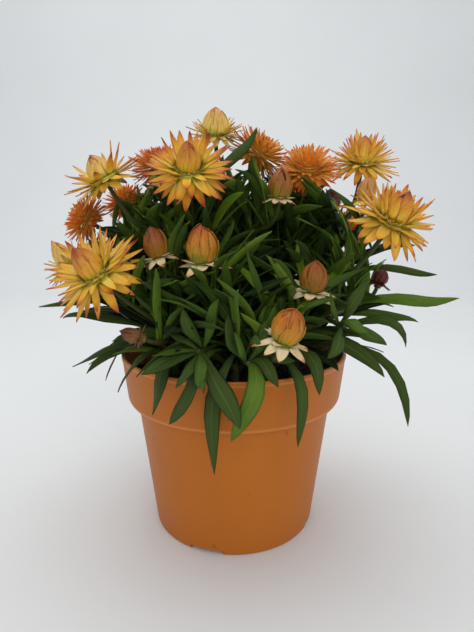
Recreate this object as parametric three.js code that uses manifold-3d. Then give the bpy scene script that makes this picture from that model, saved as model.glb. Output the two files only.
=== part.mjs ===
// Potted strawflower: a bushy plant with papery yellow and orange heads, in a round nursery pot.
// Millimetres, +Z up. The origin is the middle of the pot's underside. -Y is the plant's front.

import * as THREE from 'three';
import { mergeVertices } from 'three/addons/utils/BufferGeometryUtils.js';
import Module from 'manifold-3d';

const wasm = await Module();
wasm.setup();

// Pot
const POT_SIDES = 32;
const WALL = 1.4;
const PLATE = 1.6;
const BASE = { radius: 47.4, round: 1 };
const BODY_TOP = { radius: 56.6, z: 74.2 };
const COLLAR_LOW = { radius: 62, z: 77.3, fillet: 3.6 };
const RIM = { radius: 65, z: 102.8, round: 0.5, thick: 1.7 };
const LIP = { height: 2, proud: 0.4 };
const SHELF_DROP = { body: 1.2, collar: 1.5 };
const RECESS = {
  count: 4, firstAngle: 72, halfAngle: 11.5, inner: 33, height: 2.5, cheek: 2, hole: 2.5, holeAt: 39.5,
};

// Soil
const SOIL_SIDES = 16;
const SOIL_RINGS = [1, 0.7, 0.35];
const SOIL = { level: 88, bottom: 4.4, top: 60.9, lump: 1.1 };

// Seats between pieces that touch, and the plain holes that the stems stand in
const SEAT = 0.3;
const HOLE = { depth: 22, sides: 6 };

// Stems
const STEM = { sides: 5, steps: 5, trunk: 2.1, twig: 1.5, neck: 1.1, pull: 0.42, collar: 4 };

// Leaves: sizes and angles run from the foot of a shoot to its top
const LEAF = {
  keel: 1.2,
  sink: 0.75,
  clearance: 0.4,
  tries: 13,
  pitch: 8.6,
  goldenAngle: 137.5,
  turn: { share: 0.8, spread: 16, swing: 16 },
  rise: { foot: 30, top: 62, spread: 18 },
  droop: { least: 22, more: 34 },
  length: { foot: 64, top: 34 },
  width: { foot: 9.4, top: 6.4 },
  size: { least: 0.85, more: 0.3 },
  roll: 50,
};
const LEAF_FORMS = [
  { under: 46, stations: [[0, 0.16], [0.5, 1]] },
  { under: 58, stations: [[0, 0.14], [0.32, 0.85], [0.66, 0.9]] },
  { under: Infinity, stations: [[0, 0.14], [0.2, 0.6], [0.45, 1], [0.72, 0.8]] },
];
const DOME = { x: 98, y: 88, z: 112, middle: 95, floor: 74 };

// Heads
const BRACT_THICK = 0.8;
const BRACT_ROOM = 0.9;
const CONE_RELIEF = 0.06;
const NECK = { depth: 4, radius: 1.8 };
const JITTER = { rise: 10, reach: 0.2 };
const DRAW_RANGE = 4294967296;

// A head is a turned core, given by rings as shares of its radius at plain heights below and as
// shares of its radius and height above. Each tier of bracts grows out of the core's own faces,
// from every column or from every other one.
const HEAD_FORMS = {
  young: {
    columns: 12,
    every: 2,
    low: [[0.9, -2.4], [1, -0.6], [1, 0.9], [0.97, 2.6]],
    high: [[0.92, 0.5], [0.6, 0.82]],
    tiers: [
      { rise: -24, curl: 8, width: 4.8, reach: 1 },
      { rise: 6, curl: 6, width: 4.2, reach: 1 },
      { rise: 44, curl: 4, width: 3.4, reach: 0.9 },
    ],
  },
  full: {
    columns: 12,
    every: 2,
    low: [[0.7, -2.6], [1, -0.8], [1, 1.4], [0.85, 3.6], [0.5, 5.2]],
    high: [],
    tiers: [
      { rise: -24, curl: 14, width: 3.4, reach: 1 },
      { rise: 8, curl: 12, width: 3.2, reach: 1 },
      { rise: 38, curl: 10, width: 2.8, reach: 1 },
      { rise: 66, curl: 6, width: 2.4, reach: 0.9 },
    ],
  },
  bud: {
    columns: 8,
    every: 1,
    low: [[0.75, -1.9], [0.95, -0.3]],
    high: [[1, 0.22], [0.92, 0.5], [0.6, 0.8]],
    tiers: [{ rise: -14, curl: -4, width: 3.8, reach: 1 }],
  },
};

// Every head: where its outer bracts leave the cone, how far it leans from upright, and towards
// which compass side (0 is +X, 90 is +Y). A young head is a closed cone on spread bracts, a full
// one is open all over, and a bud is a closed cone on a few short pale bracts.
const HEADS = {
  young_bloom_1: { kind: 'young', at: [-64, -52, 152], tilt: 43, side: -132, cone: [9.5, 16], reach: 14.5 },
  young_bloom_2: { kind: 'young', at: [-86, -23, 153], tilt: 36, side: 172, cone: [5.4, 16], reach: 9 },
  young_bloom_3: { kind: 'young', at: [-68, -15, 198], tilt: 30, side: -158, cone: [9.4, 13], reach: 13 },
  young_bloom_4: { kind: 'young', at: [-22, -30, 201], tilt: 38, side: -88, cone: [9.4, 15], reach: 13.5 },
  young_bloom_5: { kind: 'young', at: [-10, 6, 224], tilt: 14, side: -90, cone: [7.4, 16], reach: 9.5 },
  young_bloom_6: { kind: 'young', at: [73, 8, 209], tilt: 18, side: -88, cone: [7.2, 14.5], reach: 13 },
  young_bloom_7: { kind: 'young', at: [76, -42, 176], tilt: 32, side: -48, cone: [10, 15], reach: 12.5 },
  young_bloom_8: { kind: 'young', at: [34, 52, 190], tilt: 36, side: 72, cone: [9, 15], reach: 13.5 },
  young_bloom_9: { kind: 'young', at: [-56, 58, 168], tilt: 42, side: 128, cone: [9.2, 15], reach: 13.5 },
  full_bloom_1: { kind: 'full', at: [-45, 20, 208], tilt: 12, side: -150, cone: [6, 6.5], reach: 8 },
  full_bloom_2: { kind: 'full', at: [14, 12, 214], tilt: 34, side: -20, cone: [6.6, 7], reach: 8.6 },
  full_bloom_3: { kind: 'full', at: [41, 0, 204], tilt: 34, side: -88, cone: [7, 7], reach: 9 },
  full_bloom_4: { kind: 'full', at: [-84, 2, 177], tilt: 60, side: -172, cone: [5.6, 6.5], reach: 7.4 },
  full_bloom_5: { kind: 'full', at: [-68, 32, 188], tilt: 24, side: 170, cone: [5.2, 6], reach: 6.6 },
  full_bloom_6: { kind: 'full', at: [-8, 66, 186], tilt: 38, side: 96, cone: [6.6, 7], reach: 8.6 },
  full_bloom_7: { kind: 'full', at: [76, 42, 170], tilt: 46, side: 34, cone: [6.2, 6.5], reach: 8 },
  bud_1: { kind: 'bud', at: [-14, -48, 158], tilt: 10, side: -110, cone: [6.6, 16.5], reach: 7 },
  bud_2: { kind: 'bud', at: [-36, -42, 160], tilt: 16, side: -162, cone: [5, 14], reach: 6 },
  bud_3: { kind: 'bud', at: [37, -52, 145], tilt: 14, side: -72, cone: [5.8, 13.5], reach: 6.4 },
  bud_4: { kind: 'bud', at: [22, -78, 127], tilt: 22, side: -52, cone: [6.2, 14.5], reach: 7.6 },
  bud_5: { kind: 'bud', at: [24, -20, 189], tilt: 6, side: -60, cone: [5.4, 14], reach: 5 },
  bud_6: { kind: 'bud', at: [69, -18, 188], tilt: 8, side: -60, cone: [4.2, 10.5], reach: 5.5 },
  bud_7: { kind: 'bud', at: [80, -14, 144], tilt: 18, side: -20, cone: [3.7, 6.8], reach: 3.6 },
  bud_8: { kind: 'bud', at: [58, 12, 186], tilt: 12, side: 178, cone: [4.6, 9], reach: 6 },
  bud_9: { kind: 'bud', at: [-46, -51, 121], tilt: 68, side: -165, cone: [2.5, 9], reach: 4 },
  bud_10: { kind: 'bud', at: [34, 74, 152], tilt: 24, side: 62, cone: [6, 14], reach: 7 },
  bud_11: { kind: 'bud', at: [-30, 80, 148], tilt: 26, side: 116, cone: [5.4, 13], reach: 6.4 },
};

// Every leafy stem: where it stands in the soil, the head on its main shoot, and the heads on
// its side shoots, each with its share of the way up the main one.
const LEAFY_STEMS = {
  leafy_stem_1: { root: [-27, -21], heads: [['young_bloom_1'], ['bud_9', 0.2]] },
  leafy_stem_2: { root: [-34, -3], heads: [['full_bloom_4'], ['young_bloom_2', 0.35]] },
  leafy_stem_3: { root: [-21, 8], heads: [['young_bloom_3'], ['full_bloom_5', 0.45]] },
  leafy_stem_4: { root: [-14, -14], heads: [['young_bloom_4'], ['bud_2', 0.4]] },
  leafy_stem_5: { root: [-5, 10], heads: [['young_bloom_5'], ['full_bloom_1', 0.4]] },
  leafy_stem_6: { root: [9, 8], heads: [['full_bloom_2'], ['bud_5', 0.5]] },
  leafy_stem_7: { root: [22, 2], heads: [['full_bloom_3'], ['bud_8', 0.55]] },
  leafy_stem_8: { root: [35, 4], heads: [['young_bloom_6'], ['bud_6', 0.5]] },
  leafy_stem_9: { root: [32, -15], heads: [['young_bloom_7'], ['bud_7', 0.35]] },
  leafy_stem_10: { root: [1, -29], heads: [['bud_1'], ['bud_4', 0.15]] },
  leafy_stem_11: { root: [18, -24], heads: [['bud_3']] },
  leafy_stem_12: { root: [16, 27], heads: [['young_bloom_8'], ['full_bloom_7', 0.35], ['bud_10', 0.3]] },
  leafy_stem_13: { root: [-4, 34], heads: [['full_bloom_6'], ['bud_11', 0.35]] },
  leafy_stem_14: { root: [-27, 25], heads: [['young_bloom_9']] },
};

// Leaves that stand out one by one: the stem, how far up its main shoot they grow, the bend and
// the tip, and the width.
const SINGLE_LEAVES = [
  ['leafy_stem_1', 0.16, [-16, -70, 124], [-28, -73, 84], 9],
  ['leafy_stem_10', 0.14, [-5, -80, 139], [-9, -73, 62], 10.5],
  ['leafy_stem_10', 0.2, [7, -84, 130], [4, -76, 76], 8.5],
  ['leafy_stem_11', 0.14, [22, -74, 128], [34, -74, 75], 7],
  ['leafy_stem_11', 0.24, [32, -66, 124], [42, -73, 101], 7.5],
  ['leafy_stem_10', 0.22, [-14, -72, 128], [-14, -79, 103], 7],
  ['leafy_stem_1', 0.1, [-30, -62, 126], [-36, -71, 90], 12],
  ['leafy_stem_1', 0.2, [-46, -54, 122], [-52, -62, 97], 7],
  ['leafy_stem_2', 0.2, [-63, -40, 117], [-79, -48, 105], 8],
  ['leafy_stem_2', 0.14, [-60, -32, 116], [-76, -38, 98], 7],
  ['leafy_stem_9', 0.36, [90, -40, 147], [114, -36, 137], 9],
  ['leafy_stem_8', 0.42, [94, -4, 155], [113, -12, 149], 7],
  ['leafy_stem_8', 0.5, [84, -8, 160], [95, -20, 166], 7],
  ['leafy_stem_9', 0.3, [78, -44, 142], [88, -46, 126], 7],
  ['leafy_stem_9', 0.22, [72, -50, 136], [84, -54, 118], 7],
  ['leafy_stem_11', 0.45, [50, -60, 138], [66, -68, 106], 10],
  ['leafy_stem_9', 0.14, [68, -46, 130], [84, -62, 80], 8],
  ['leafy_stem_4', 0.82, [2, -14, 208], [12, -12, 225], 6],
  ['leafy_stem_2', 0.4, [-76, -34, 138], [-98, -32, 133], 6],
  ['leafy_stem_1', 0.36, [-70, -42, 136], [-86, -42, 129], 7],
  ['leafy_stem_11', 0.34, [14, -70, 146], [4, -72, 168], 9],
  ['leafy_stem_10', 0.3, [0, -80, 128], [6, -82, 147], 8],
];

const { degToRad, radToDeg, lerp, mapLinear } = THREE.MathUtils;
const UP = new THREE.Vector3(0, 0, 1);

// A repeatable draw between 0 and 1
function seededDraw(seed) {
  let state = seed % DRAW_RANGE;
  const draw = () => {
    state = (state * 1664525 + 1013904223) % DRAW_RANGE;
    return state / DRAW_RANGE;
  };
  draw();
  draw();
  return draw;
}

// A direction from its compass side and its rise above level, in degrees
function compass(side, rise = 0) {
  const flat = Math.cos(degToRad(rise));
  return new THREE.Vector3(
    flat * Math.cos(degToRad(side)),
    flat * Math.sin(degToRad(side)),
    Math.sin(degToRad(rise)),
  );
}

function along(start, direction, distance) {
  return start.clone().addScaledVector(direction, distance);
}

// Closed solids from three.js geometry, and back
function solidOf(geometry) {
  const bare = geometry.clone();
  bare.deleteAttribute('normal');
  bare.deleteAttribute('uv');
  const merged = mergeVertices(bare, 1e-4);
  const corners = merged.index.array;
  const kept = [];
  for (let i = 0; i < corners.length; i += 3) {
    const [a, b, c] = [corners[i], corners[i + 1], corners[i + 2]];
    if (a !== b && b !== c && c !== a) {
      kept.push(a, b, c);
    }
  }
  return new wasm.Manifold(new wasm.Mesh({
    numProp: 3,
    vertProperties: merged.attributes.position.array,
    triVerts: new Uint32Array(kept),
  }));
}

function geometryOf(solid) {
  const mesh = solid.getMesh();
  const geometry = new THREE.BufferGeometry();
  geometry.setAttribute('position', new THREE.BufferAttribute(mesh.vertProperties, 3));
  geometry.setIndex(new THREE.BufferAttribute(mesh.triVerts, 1));
  geometry.computeVertexNormals();
  return geometry;
}

// The outer body of a fused solid, without loose scraps or sealed hollows
function largestBody(solid) {
  return solid.decompose().reduce((best, body) => (body.volume() > best.volume() ? body : best));
}

function indexed(points, faces) {
  const geometry = new THREE.BufferGeometry().setFromPoints(points);
  geometry.setIndex(faces);
  return geometry;
}

// A closed skin over rings of points, each ring turning right-handed about the way along them.
// The start is flat, and the end is flat too or runs to a point.
function skinOver(rings, tip = null) {
  const sides = rings[0].length;
  const points = rings.flat();
  const last = points.length - sides;
  const faces = [];
  for (let i = 0; i < last; i += 1) {
    const next = (i + 1) % sides === 0 ? i + 1 - sides : i + 1;
    faces.push(i, next, next + sides, i, next + sides, i + sides);
  }
  for (let j = 1; j + 1 < sides; j += 1) {
    faces.push(0, j + 1, j);
    if (!tip) {
      faces.push(last, last + j, last + j + 1);
    }
  }
  if (tip) {
    for (let j = 0; j < sides; j += 1) {
      faces.push(points.length, last + j, last + ((j + 1) % sides));
    }
    points.push(tip);
  }
  return indexed(points, faces);
}

// Pot
function turned(profile, sides) {
  const lathe = new THREE.LatheGeometry(profile.map(([r, z]) => new THREE.Vector2(r, z)), sides);
  return lathe.rotateX(Math.PI / 2);
}

function sector(inner, outer, halfAngle, bottom, top, angle) {
  const half = degToRad(halfAngle);
  const shape = new THREE.Shape();
  shape.absarc(0, 0, outer, -half, half, false);
  shape.absarc(0, 0, inner, half, -half, true);
  const block = new THREE.ExtrudeGeometry(shape, {
    depth: top - bottom,
    bevelEnabled: false,
    curveSegments: 2,
  });
  return solidOf(block.translate(0, 0, bottom).rotateZ(degToRad(angle)));
}

function post(radius, bottom, top, sides, x, y) {
  const cylinder = new THREE.CylinderGeometry(radius, radius, top - bottom, sides);
  return solidOf(cylinder.rotateX(Math.PI / 2).translate(x, y, (top + bottom) / 2));
}

function makePot() {
  const beyond = 5;
  let pot = solidOf(turned([
    [0, 0],
    [BASE.radius - BASE.round, 0],
    [BASE.radius, BASE.round],
    [BODY_TOP.radius, BODY_TOP.z],
    [BODY_TOP.radius + COLLAR_LOW.fillet, lerp(BODY_TOP.z, COLLAR_LOW.z, 0.3)],
    [COLLAR_LOW.radius, COLLAR_LOW.z],
    [RIM.radius - LIP.proud, RIM.z - LIP.height - LIP.proud],
    [RIM.radius, RIM.z - LIP.height],
    [RIM.radius, RIM.z - RIM.round],
    [RIM.radius - RIM.round, RIM.z],
    [RIM.radius - RIM.thick, RIM.z],
    [COLLAR_LOW.radius - WALL, COLLAR_LOW.z + SHELF_DROP.collar],
    [BODY_TOP.radius - WALL, BODY_TOP.z + SHELF_DROP.body],
    [BASE.radius - WALL, PLATE],
    [0, PLATE],
  ], POT_SIDES));
  const { count, firstAngle, halfAngle, inner, height, cheek, hole, holeAt } = RECESS;
  const roof = height + PLATE;
  for (let i = 0; i < count; i += 1) {
    const angle = firstAngle + (i * 360) / count;
    const middle = compass(angle).multiplyScalar(holeAt);
    pot = pot
      .add(sector(inner - cheek, BASE.radius - WALL / 2, halfAngle + cheek, PLATE / 4, roof, angle))
      .subtract(sector(inner, BASE.radius + beyond, halfAngle, -beyond, height, angle))
      .subtract(post(hole, -beyond, roof + beyond, HOLE.sides, middle.x, middle.y));
  }
  return pot;
}

// Soil: a lumpy top, and a plain hole for each stem
function soilHeight(x, y) {
  return SOIL.level
    + SOIL.lump * Math.sin(0.21 * x + 0.6) * Math.cos(0.17 * y)
    + (SOIL.lump / 2) * Math.sin(0.43 * y - 0.35 * x + 1.2);
}

function makeSoil() {
  const gap = WALL + SEAT;
  const wallTop = BODY_TOP.z + SHELF_DROP.body;
  const mound = turned([
    [0, SOIL.bottom],
    [mapLinear(SOIL.bottom, PLATE, wallTop, BASE.radius, BODY_TOP.radius) - gap, SOIL.bottom],
    [BODY_TOP.radius - gap, wallTop + 2 * SEAT],
    [COLLAR_LOW.radius - gap, COLLAR_LOW.z + SHELF_DROP.collar + 2 * SEAT],
    ...SOIL_RINGS.map((share) => [SOIL.top * share, SOIL.level]),
    [0, SOIL.level],
  ], SOIL_SIDES);
  const places = mound.attributes.position;
  for (let i = 0; i < places.count; i += 1) {
    if (places.getZ(i) > SOIL.level - SEAT) {
      places.setZ(i, soilHeight(places.getX(i), places.getY(i)));
    }
  }
  const radius = (STEM.trunk + SEAT) / Math.cos(Math.PI / HOLE.sides);
  return Object.values(LEAFY_STEMS).reduce((soil, { root: [x, y] }) => (
    soil.subtract(post(radius, SOIL.level - HOLE.depth, SOIL.level + HOLE.depth, HOLE.sides, x, y))
  ), solidOf(mound));
}

// A bract on a face of the core: a flat middle section as wide as the bract, or as the room
// beside its neighbours, then the tip
function bractOn(foot, angle, { rise, curl, width, reach, halfSector }) {
  const root = foot.reduce((sum, corner) => sum.add(corner), new THREE.Vector3()).multiplyScalar(0.25);
  const middle = along(root, compass(angle, rise), reach / 2);
  const room = BRACT_ROOM * Math.hypot(middle.x, middle.y) * Math.tan(halfSector);
  const half = Math.min(width / 2, room);
  const side = compass(angle + 90);
  const up = new THREE.Vector3().crossVectors(compass(angle, rise), side);
  const section = [[-1, -1], [1, -1], [1, 1], [-1, 1]].map(([across, above]) => (
    along(along(middle, side, across * half), up, (above * BRACT_THICK) / 2)
  ));
  return { section, tip: along(middle, compass(angle, rise + curl), reach / 2) };
}

// A head, made upright with the foot of its spread bracts at the origin
function makeHead(name, { kind, cone: [radius, height], reach }) {
  const draw = seededDraw(name.length * 977 + name.charCodeAt(name.length - 1) * 131);
  const { columns, every, low, high, tiers } = HEAD_FORMS[kind];
  const outline = [
    [NECK.radius, -NECK.depth],
    ...low.map(([share, z]) => [share * radius, z]),
    ...high.map(([share, part]) => [share * radius, part * height]),
  ];
  const points = outline.flatMap(([ringRadius, z], row) => (
    Array.from({ length: columns }, (_, j) => {
      const relief = row > low.length ? CONE_RELIEF * ((row + j) % 2 === 0 ? 1 : -1) : 0;
      return compass((360 * j) / columns).multiplyScalar(ringRadius * (1 + relief)).setZ(z);
    })
  ));
  const last = points.length - columns;
  const faces = [];
  for (let i = 0; i < last; i += 1) {
    const [row, column] = [Math.floor(i / columns), i % columns];
    const next = column + 1 === columns ? i + 1 - columns : i + 1;
    const [a, b, c, d] = [i, next, next + columns, i + columns];
    const tier = tiers[row - 1];
    if (tier && (column + row) % every === 0) {
      const foot = [a, b, c, d];
      const { section, tip } = bractOn(foot.map((k) => points[k]), (360 * (column + 0.5)) / columns, {
        ...tier,
        halfSector: (Math.PI * every) / columns,
        rise: tier.rise + JITTER.rise * (draw() - 0.5),
        reach: reach * tier.reach * (1 + JITTER.reach * (draw() - 0.5)),
      });
      const start = points.length;
      points.push(...section, tip);
      for (let k = 0; k < 4; k += 1) {
        const beside = (k + 1) % 4;
        faces.push(foot[k], foot[beside], start + beside, foot[k], start + beside, start + k);
        faces.push(start + k, start + beside, start + 4);
      }
    } else {
      faces.push(a, b, c, a, c, d);
    }
  }
  for (let j = 0; j < columns; j += 1) {
    faces.push(points.length, last + j, last + ((j + 1) % columns));
    if (j > 0 && j + 1 < columns) {
      faces.push(0, j + 1, j);
    }
  }
  points.push(new THREE.Vector3(0, 0, height));
  return solidOf(indexed(points, faces));
}

// Where a head stands: its middle, its axis, the turn that lays it along that axis, and the
// place of the stem's end just under it
function headPlace({ at, tilt, side }) {
  const axis = compass(side, 90 - tilt);
  const middle = new THREE.Vector3(...at);
  const turn = new THREE.Quaternion().setFromUnitVectors(UP, axis);
  return { axis, turn, middle, seat: along(middle, axis, -NECK.depth - SEAT) };
}

// Stems: a main shoot out of the soil and a side shoot to each other head
function shootsOf({ root: [x, y], heads }) {
  const collar = new THREE.Vector3(x, y, SOIL.level + STEM.collar);
  const shoots = [];
  heads.forEach(([head, share]) => {
    const { axis, seat } = headPlace(HEADS[head]);
    const start = share ? shoots[0].curve.getPoint(share) : collar;
    const aim = share ? shoots[0].curve.getTangent(share) : UP;
    const pull = STEM.pull * start.distanceTo(seat);
    const curve = new THREE.CubicBezierCurve3(start, along(start, aim, pull), along(seat, axis, -pull), seat);
    shoots.push({ curve, radius: share ? STEM.twig : STEM.trunk });
  });
  return shoots;
}

// A tapering shoot, with a straight foot below it where it stands in the soil
function shootSolid({ curve, radius }, foot = null) {
  const frames = curve.computeFrenetFrames(STEM.steps, false);
  const ringAt = (middle, step) => Array.from({ length: STEM.sides }, (_, j) => {
    const turn = (2 * Math.PI * j) / STEM.sides;
    const size = lerp(radius, STEM.neck, step / STEM.steps);
    const across = along(middle, frames.normals[step], size * Math.cos(turn));
    return along(across, frames.binormals[step], size * Math.sin(turn));
  });
  const rings = foot ? [ringAt(foot, 0)] : [];
  for (let step = 0; step <= STEM.steps; step += 1) {
    rings.push(ringAt(curve.getPointAt(step / STEM.steps), step));
  }
  return solidOf(skinOver(rings));
}

function stemSolid(shoots, [x, y]) {
  const foot = new THREE.Vector3(x, y, SOIL.level - HOLE.depth + SEAT);
  const [main, ...side] = shoots;
  return side.reduce((whole, shoot) => whole.add(shootSolid(shoot)), shootSolid(main, foot));
}

// A leaf blade with a flat upper face and a keel below, along a bent spine that ends in a point.
// The grown copy, thicker all round, is the room that the leaf needs.
function leafSolid({ root, bend, tip, side, width, stations }, grow = 0) {
  const spine = new THREE.QuadraticBezierCurve3(root, bend, tip);
  const rings = stations.map(([t, share]) => {
    const middle = spine.getPoint(t);
    const up = new THREE.Vector3().crossVectors(spine.getTangent(t), side).normalize();
    const reach = (width / 2) * share + 1.6 * grow;
    const depth = LEAF.keel * lerp(0.5, 1, share) + 1.4 * grow;
    return [
      along(along(middle, side, reach), up, grow),
      along(along(middle, side, -reach), up, grow),
      along(middle, up, -depth),
    ];
  });
  return solidOf(skinOver(rings, along(tip, spine.getTangent(1), 2 * grow)));
}

// A place on a shoot, and the point just under its skin on the side that faces a direction
function seatOn({ curve, radius }, share) {
  return {
    middle: curve.getPoint(share),
    tangent: curve.getTangent(share),
    offset: lerp(radius, STEM.neck, share) - LEAF.sink,
  };
}

function skinPoint({ middle, tangent, offset }, direction) {
  return along(middle, along(direction, tangent, -direction.dot(tangent)).normalize(), offset);
}

function singleLeaf(shoot, share, bend, tip, width) {
  const seat = seatOn(shoot, share);
  const [bendPoint, tipPoint] = [new THREE.Vector3(...bend), new THREE.Vector3(...tip)];
  const root = skinPoint(seat, bendPoint.clone().sub(seat.middle).normalize());
  const way = tipPoint.clone().sub(root);
  const side = new THREE.Vector3(-way.y, way.x, 0).normalize();
  return { root, bend: bendPoint, tip: tipPoint, side, width, stations: LEAF_FORMS[2].stations };
}

// The places for leaves up each shoot of a stem, turned by the golden angle and drawn outwards
function leafSeats(shoots, number) {
  const seats = [];
  shoots.forEach((shoot, order) => {
    const length = shoot.curve.getLength();
    const count = Math.floor((length * (order === 0 ? 0.92 : 0.75)) / LEAF.pitch);
    for (let i = 0; i < count; i += 1) {
      const index = seats.length + 1;
      const draw = seededDraw((number + 1) * 7919 + index * 104729);
      const share = (order === 0 ? 0.03 : 0.18) + (i * LEAF.pitch) / length;
      const seat = seatOn(shoot, share);
      const outward = radToDeg(Math.atan2(seat.middle.y, seat.middle.x));
      const around = (((index + 3 * number) * LEAF.goldenAngle + 180) % 360) - 180;
      seats.push({
        ...seat,
        side: outward + around * LEAF.turn.share + LEAF.turn.spread * (draw() - 0.5),
        rise: lerp(LEAF.rise.foot, LEAF.rise.top, share) + LEAF.rise.spread * (draw() - 0.5),
        droop: LEAF.droop.least + LEAF.droop.more * draw(),
        length: lerp(LEAF.length.foot, LEAF.length.top, share) * (LEAF.size.least + LEAF.size.more * draw()),
        width: lerp(LEAF.width.foot, LEAF.width.top, share) * (LEAF.size.least + LEAF.size.more * draw()),
        roll: LEAF.roll * (draw() - 0.5),
      });
    }
  });
  return seats;
}

// One leaf from its seat. Each further attempt swings it further from its first place.
function leafShape(seat, attempt) {
  const swing = LEAF.turn.swing * Math.ceil(attempt / 2) * (attempt % 2 === 0 ? 1 : -1);
  const lift = [0, 6, -12][attempt % 3];
  const side = seat.side + swing;
  const first = compass(side, seat.rise + lift);
  const root = skinPoint(seat, first);
  const bend = along(root, first, seat.length / 2);
  return {
    root,
    bend,
    tip: along(bend, compass(side, seat.rise + lift - seat.droop), seat.length / 2),
    side: compass(side + 90).applyAxisAngle(first, degToRad(seat.roll)),
    width: seat.width,
    stations: LEAF_FORMS.find(({ under }) => seat.length < under).stations,
  };
}

function insideDome({ x, y, z }) {
  const [across, deep, high] = [x / DOME.x, y / DOME.y, (z - DOME.middle) / DOME.z];
  return across * across + deep * deep + high * high < 1 && z > DOME.floor;
}

// Leaves leave the outward face of every head open
function hidesHead({ root, bend, tip }, faces) {
  const spine = new THREE.QuadraticBezierCurve3(root, bend, tip);
  return faces.some(({ middle, outward, radius }) => [0.35, 0.55, 0.75, 0.9, 1].some((t) => {
    const apart = spine.getPoint(t).sub(middle);
    const before = apart.dot(outward);
    return before > -3 && along(apart, outward, -before).length() < radius;
  }));
}

// Solids that are already in place, each with its box, so that most pairs need no cut
const placed = [];
function place(owner, solid) {
  placed.push({ owner, solid, box: solid.boundingBox() });
}

// How many of the pieces a solid runs into
function meets(solid, pieces) {
  const own = solid.boundingBox();
  const near = ({ box }) => [0, 1, 2].every((k) => box.min[k] <= own.max[k] && box.max[k] >= own.min[k]);
  return pieces.filter((piece) => near(piece) && !solid.intersect(piece.solid).isEmpty()).length;
}

// A leaf grows where it is clear of every other node, and of its own stem's other leaves too
// unless a few crossings are allowed
function growLeaf(stem, shape, crossings = 0) {
  const others = placed.filter(({ owner }) => owner !== stem.name);
  const own = placed.filter(({ owner }) => owner === stem.name);
  const leaf = leafSolid(shape);
  if (meets(leafSolid(shape, LEAF.clearance), others) > 0 || meets(leaf, own) > 1 + crossings) {
    return false;
  }
  stem.leaves.push(leaf);
  place(stem.name, leaf);
  return true;
}

// The finished plant, one mesh for each piece
const plant = new THREE.Group();
function addMesh(name, solid, color, roughness, stand = null) {
  const material = new THREE.MeshStandardMaterial({ color, roughness, metalness: 0 });
  const mesh = new THREE.Mesh(geometryOf(solid), material);
  mesh.name = name;
  if (stand) {
    mesh.position.copy(stand.middle);
    mesh.quaternion.copy(stand.turn);
  }
  plant.add(mesh);
}

const pot = makePot();
place('pot', pot);
addMesh('pot', pot, 0xa65f2a, 0.55);

const soil = makeSoil();
place('soil', soil);
addMesh('soil', soil, 0x1d1712, 1);

const HEAD_COLORS = { young: 0xeaa63c, full: 0xd96a1f, bud: 0xc98246 };
const BACK_FROM = 28;
const openFaces = [];
for (const [name, head] of Object.entries(HEADS)) {
  const solid = makeHead(name, head);
  const stand = headPlace(head);
  addMesh(name, solid, HEAD_COLORS[head.kind], 0.6, stand);
  place(name, solidOf(geometryOf(solid).applyQuaternion(stand.turn).translate(...head.at)));
  openFaces.push({
    middle: along(stand.middle, stand.axis, head.cone[1] * 0.4),
    outward: new THREE.Vector3(0, head.at[1] > BACK_FROM ? 1 : -1, 0.2).normalize(),
    radius: head.cone[0] + head.reach * (head.kind === 'bud' ? 0.5 : 0.8),
  });
}

const stems = Object.entries(LEAFY_STEMS).map(([name, leafyStem], number) => {
  const shoots = shootsOf(leafyStem);
  const solid = stemSolid(shoots, leafyStem.root);
  place(name, solid);
  return { name, shoots, solid, seats: leafSeats(shoots, number), leaves: [] };
});

const SINGLE_CROSSINGS = 3;
SINGLE_LEAVES.forEach(([name, ...shape]) => {
  const stem = stems.find((each) => each.name === name);
  growLeaf(stem, singleLeaf(stem.shoots[0], ...shape), SINGLE_CROSSINGS);
});

// All stems grow their leaves in turn, one each, so that they share the room between them
const rounds = Math.max(...stems.map(({ seats }) => seats.length));
for (let turn = 0; turn < rounds; turn += 1) {
  stems.filter(({ seats }) => seats[turn]).forEach((stem) => {
    let grown = false;
    for (let attempt = 0; attempt < LEAF.tries && !grown; attempt += 1) {
      const shape = leafShape(stem.seats[turn], attempt);
      grown = insideDome(shape.tip) && !hidesHead(shape, openFaces) && growLeaf(stem, shape);
    }
  });
}

stems.forEach(({ name, solid, leaves }) => {
  addMesh(name, largestBody(leaves.reduce((whole, leaf) => whole.add(leaf), solid)), 0x3f5f1e, 0.6);
});

export default plant;
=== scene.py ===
from math import atan2, ceil, cos, degrees, floor, hypot, pi, radians, sin

import bmesh
import bpy
from mathutils import Matrix, Quaternion, Vector
from mathutils.kdtree import KDTree


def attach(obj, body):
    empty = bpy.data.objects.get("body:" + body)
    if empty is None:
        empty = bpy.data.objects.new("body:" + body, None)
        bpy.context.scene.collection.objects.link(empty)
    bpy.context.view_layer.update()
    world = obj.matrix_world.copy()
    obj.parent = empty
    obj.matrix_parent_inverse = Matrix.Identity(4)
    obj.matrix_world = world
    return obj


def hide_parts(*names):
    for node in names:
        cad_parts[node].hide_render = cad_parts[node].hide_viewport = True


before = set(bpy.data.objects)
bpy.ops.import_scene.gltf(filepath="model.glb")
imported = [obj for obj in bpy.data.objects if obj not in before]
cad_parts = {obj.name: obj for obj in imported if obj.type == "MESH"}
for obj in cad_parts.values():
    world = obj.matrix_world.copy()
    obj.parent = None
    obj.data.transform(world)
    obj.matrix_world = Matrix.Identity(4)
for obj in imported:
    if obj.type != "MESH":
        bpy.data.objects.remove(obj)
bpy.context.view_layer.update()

# The plant's tables and its growing rule are in millimetres, and every mesh is in metres
MM = 0.001
UP = Vector((0, 0, 1))

CAMERA = {"place": (0.0018, -0.2738, 0.1734), "tilt": 10.67, "film": 24, "lens": 18.04,
          "near": 0.01}
SKY = {"Color": (0.92, 0.96, 1.0, 1.0), "Strength": 0.62}
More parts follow.
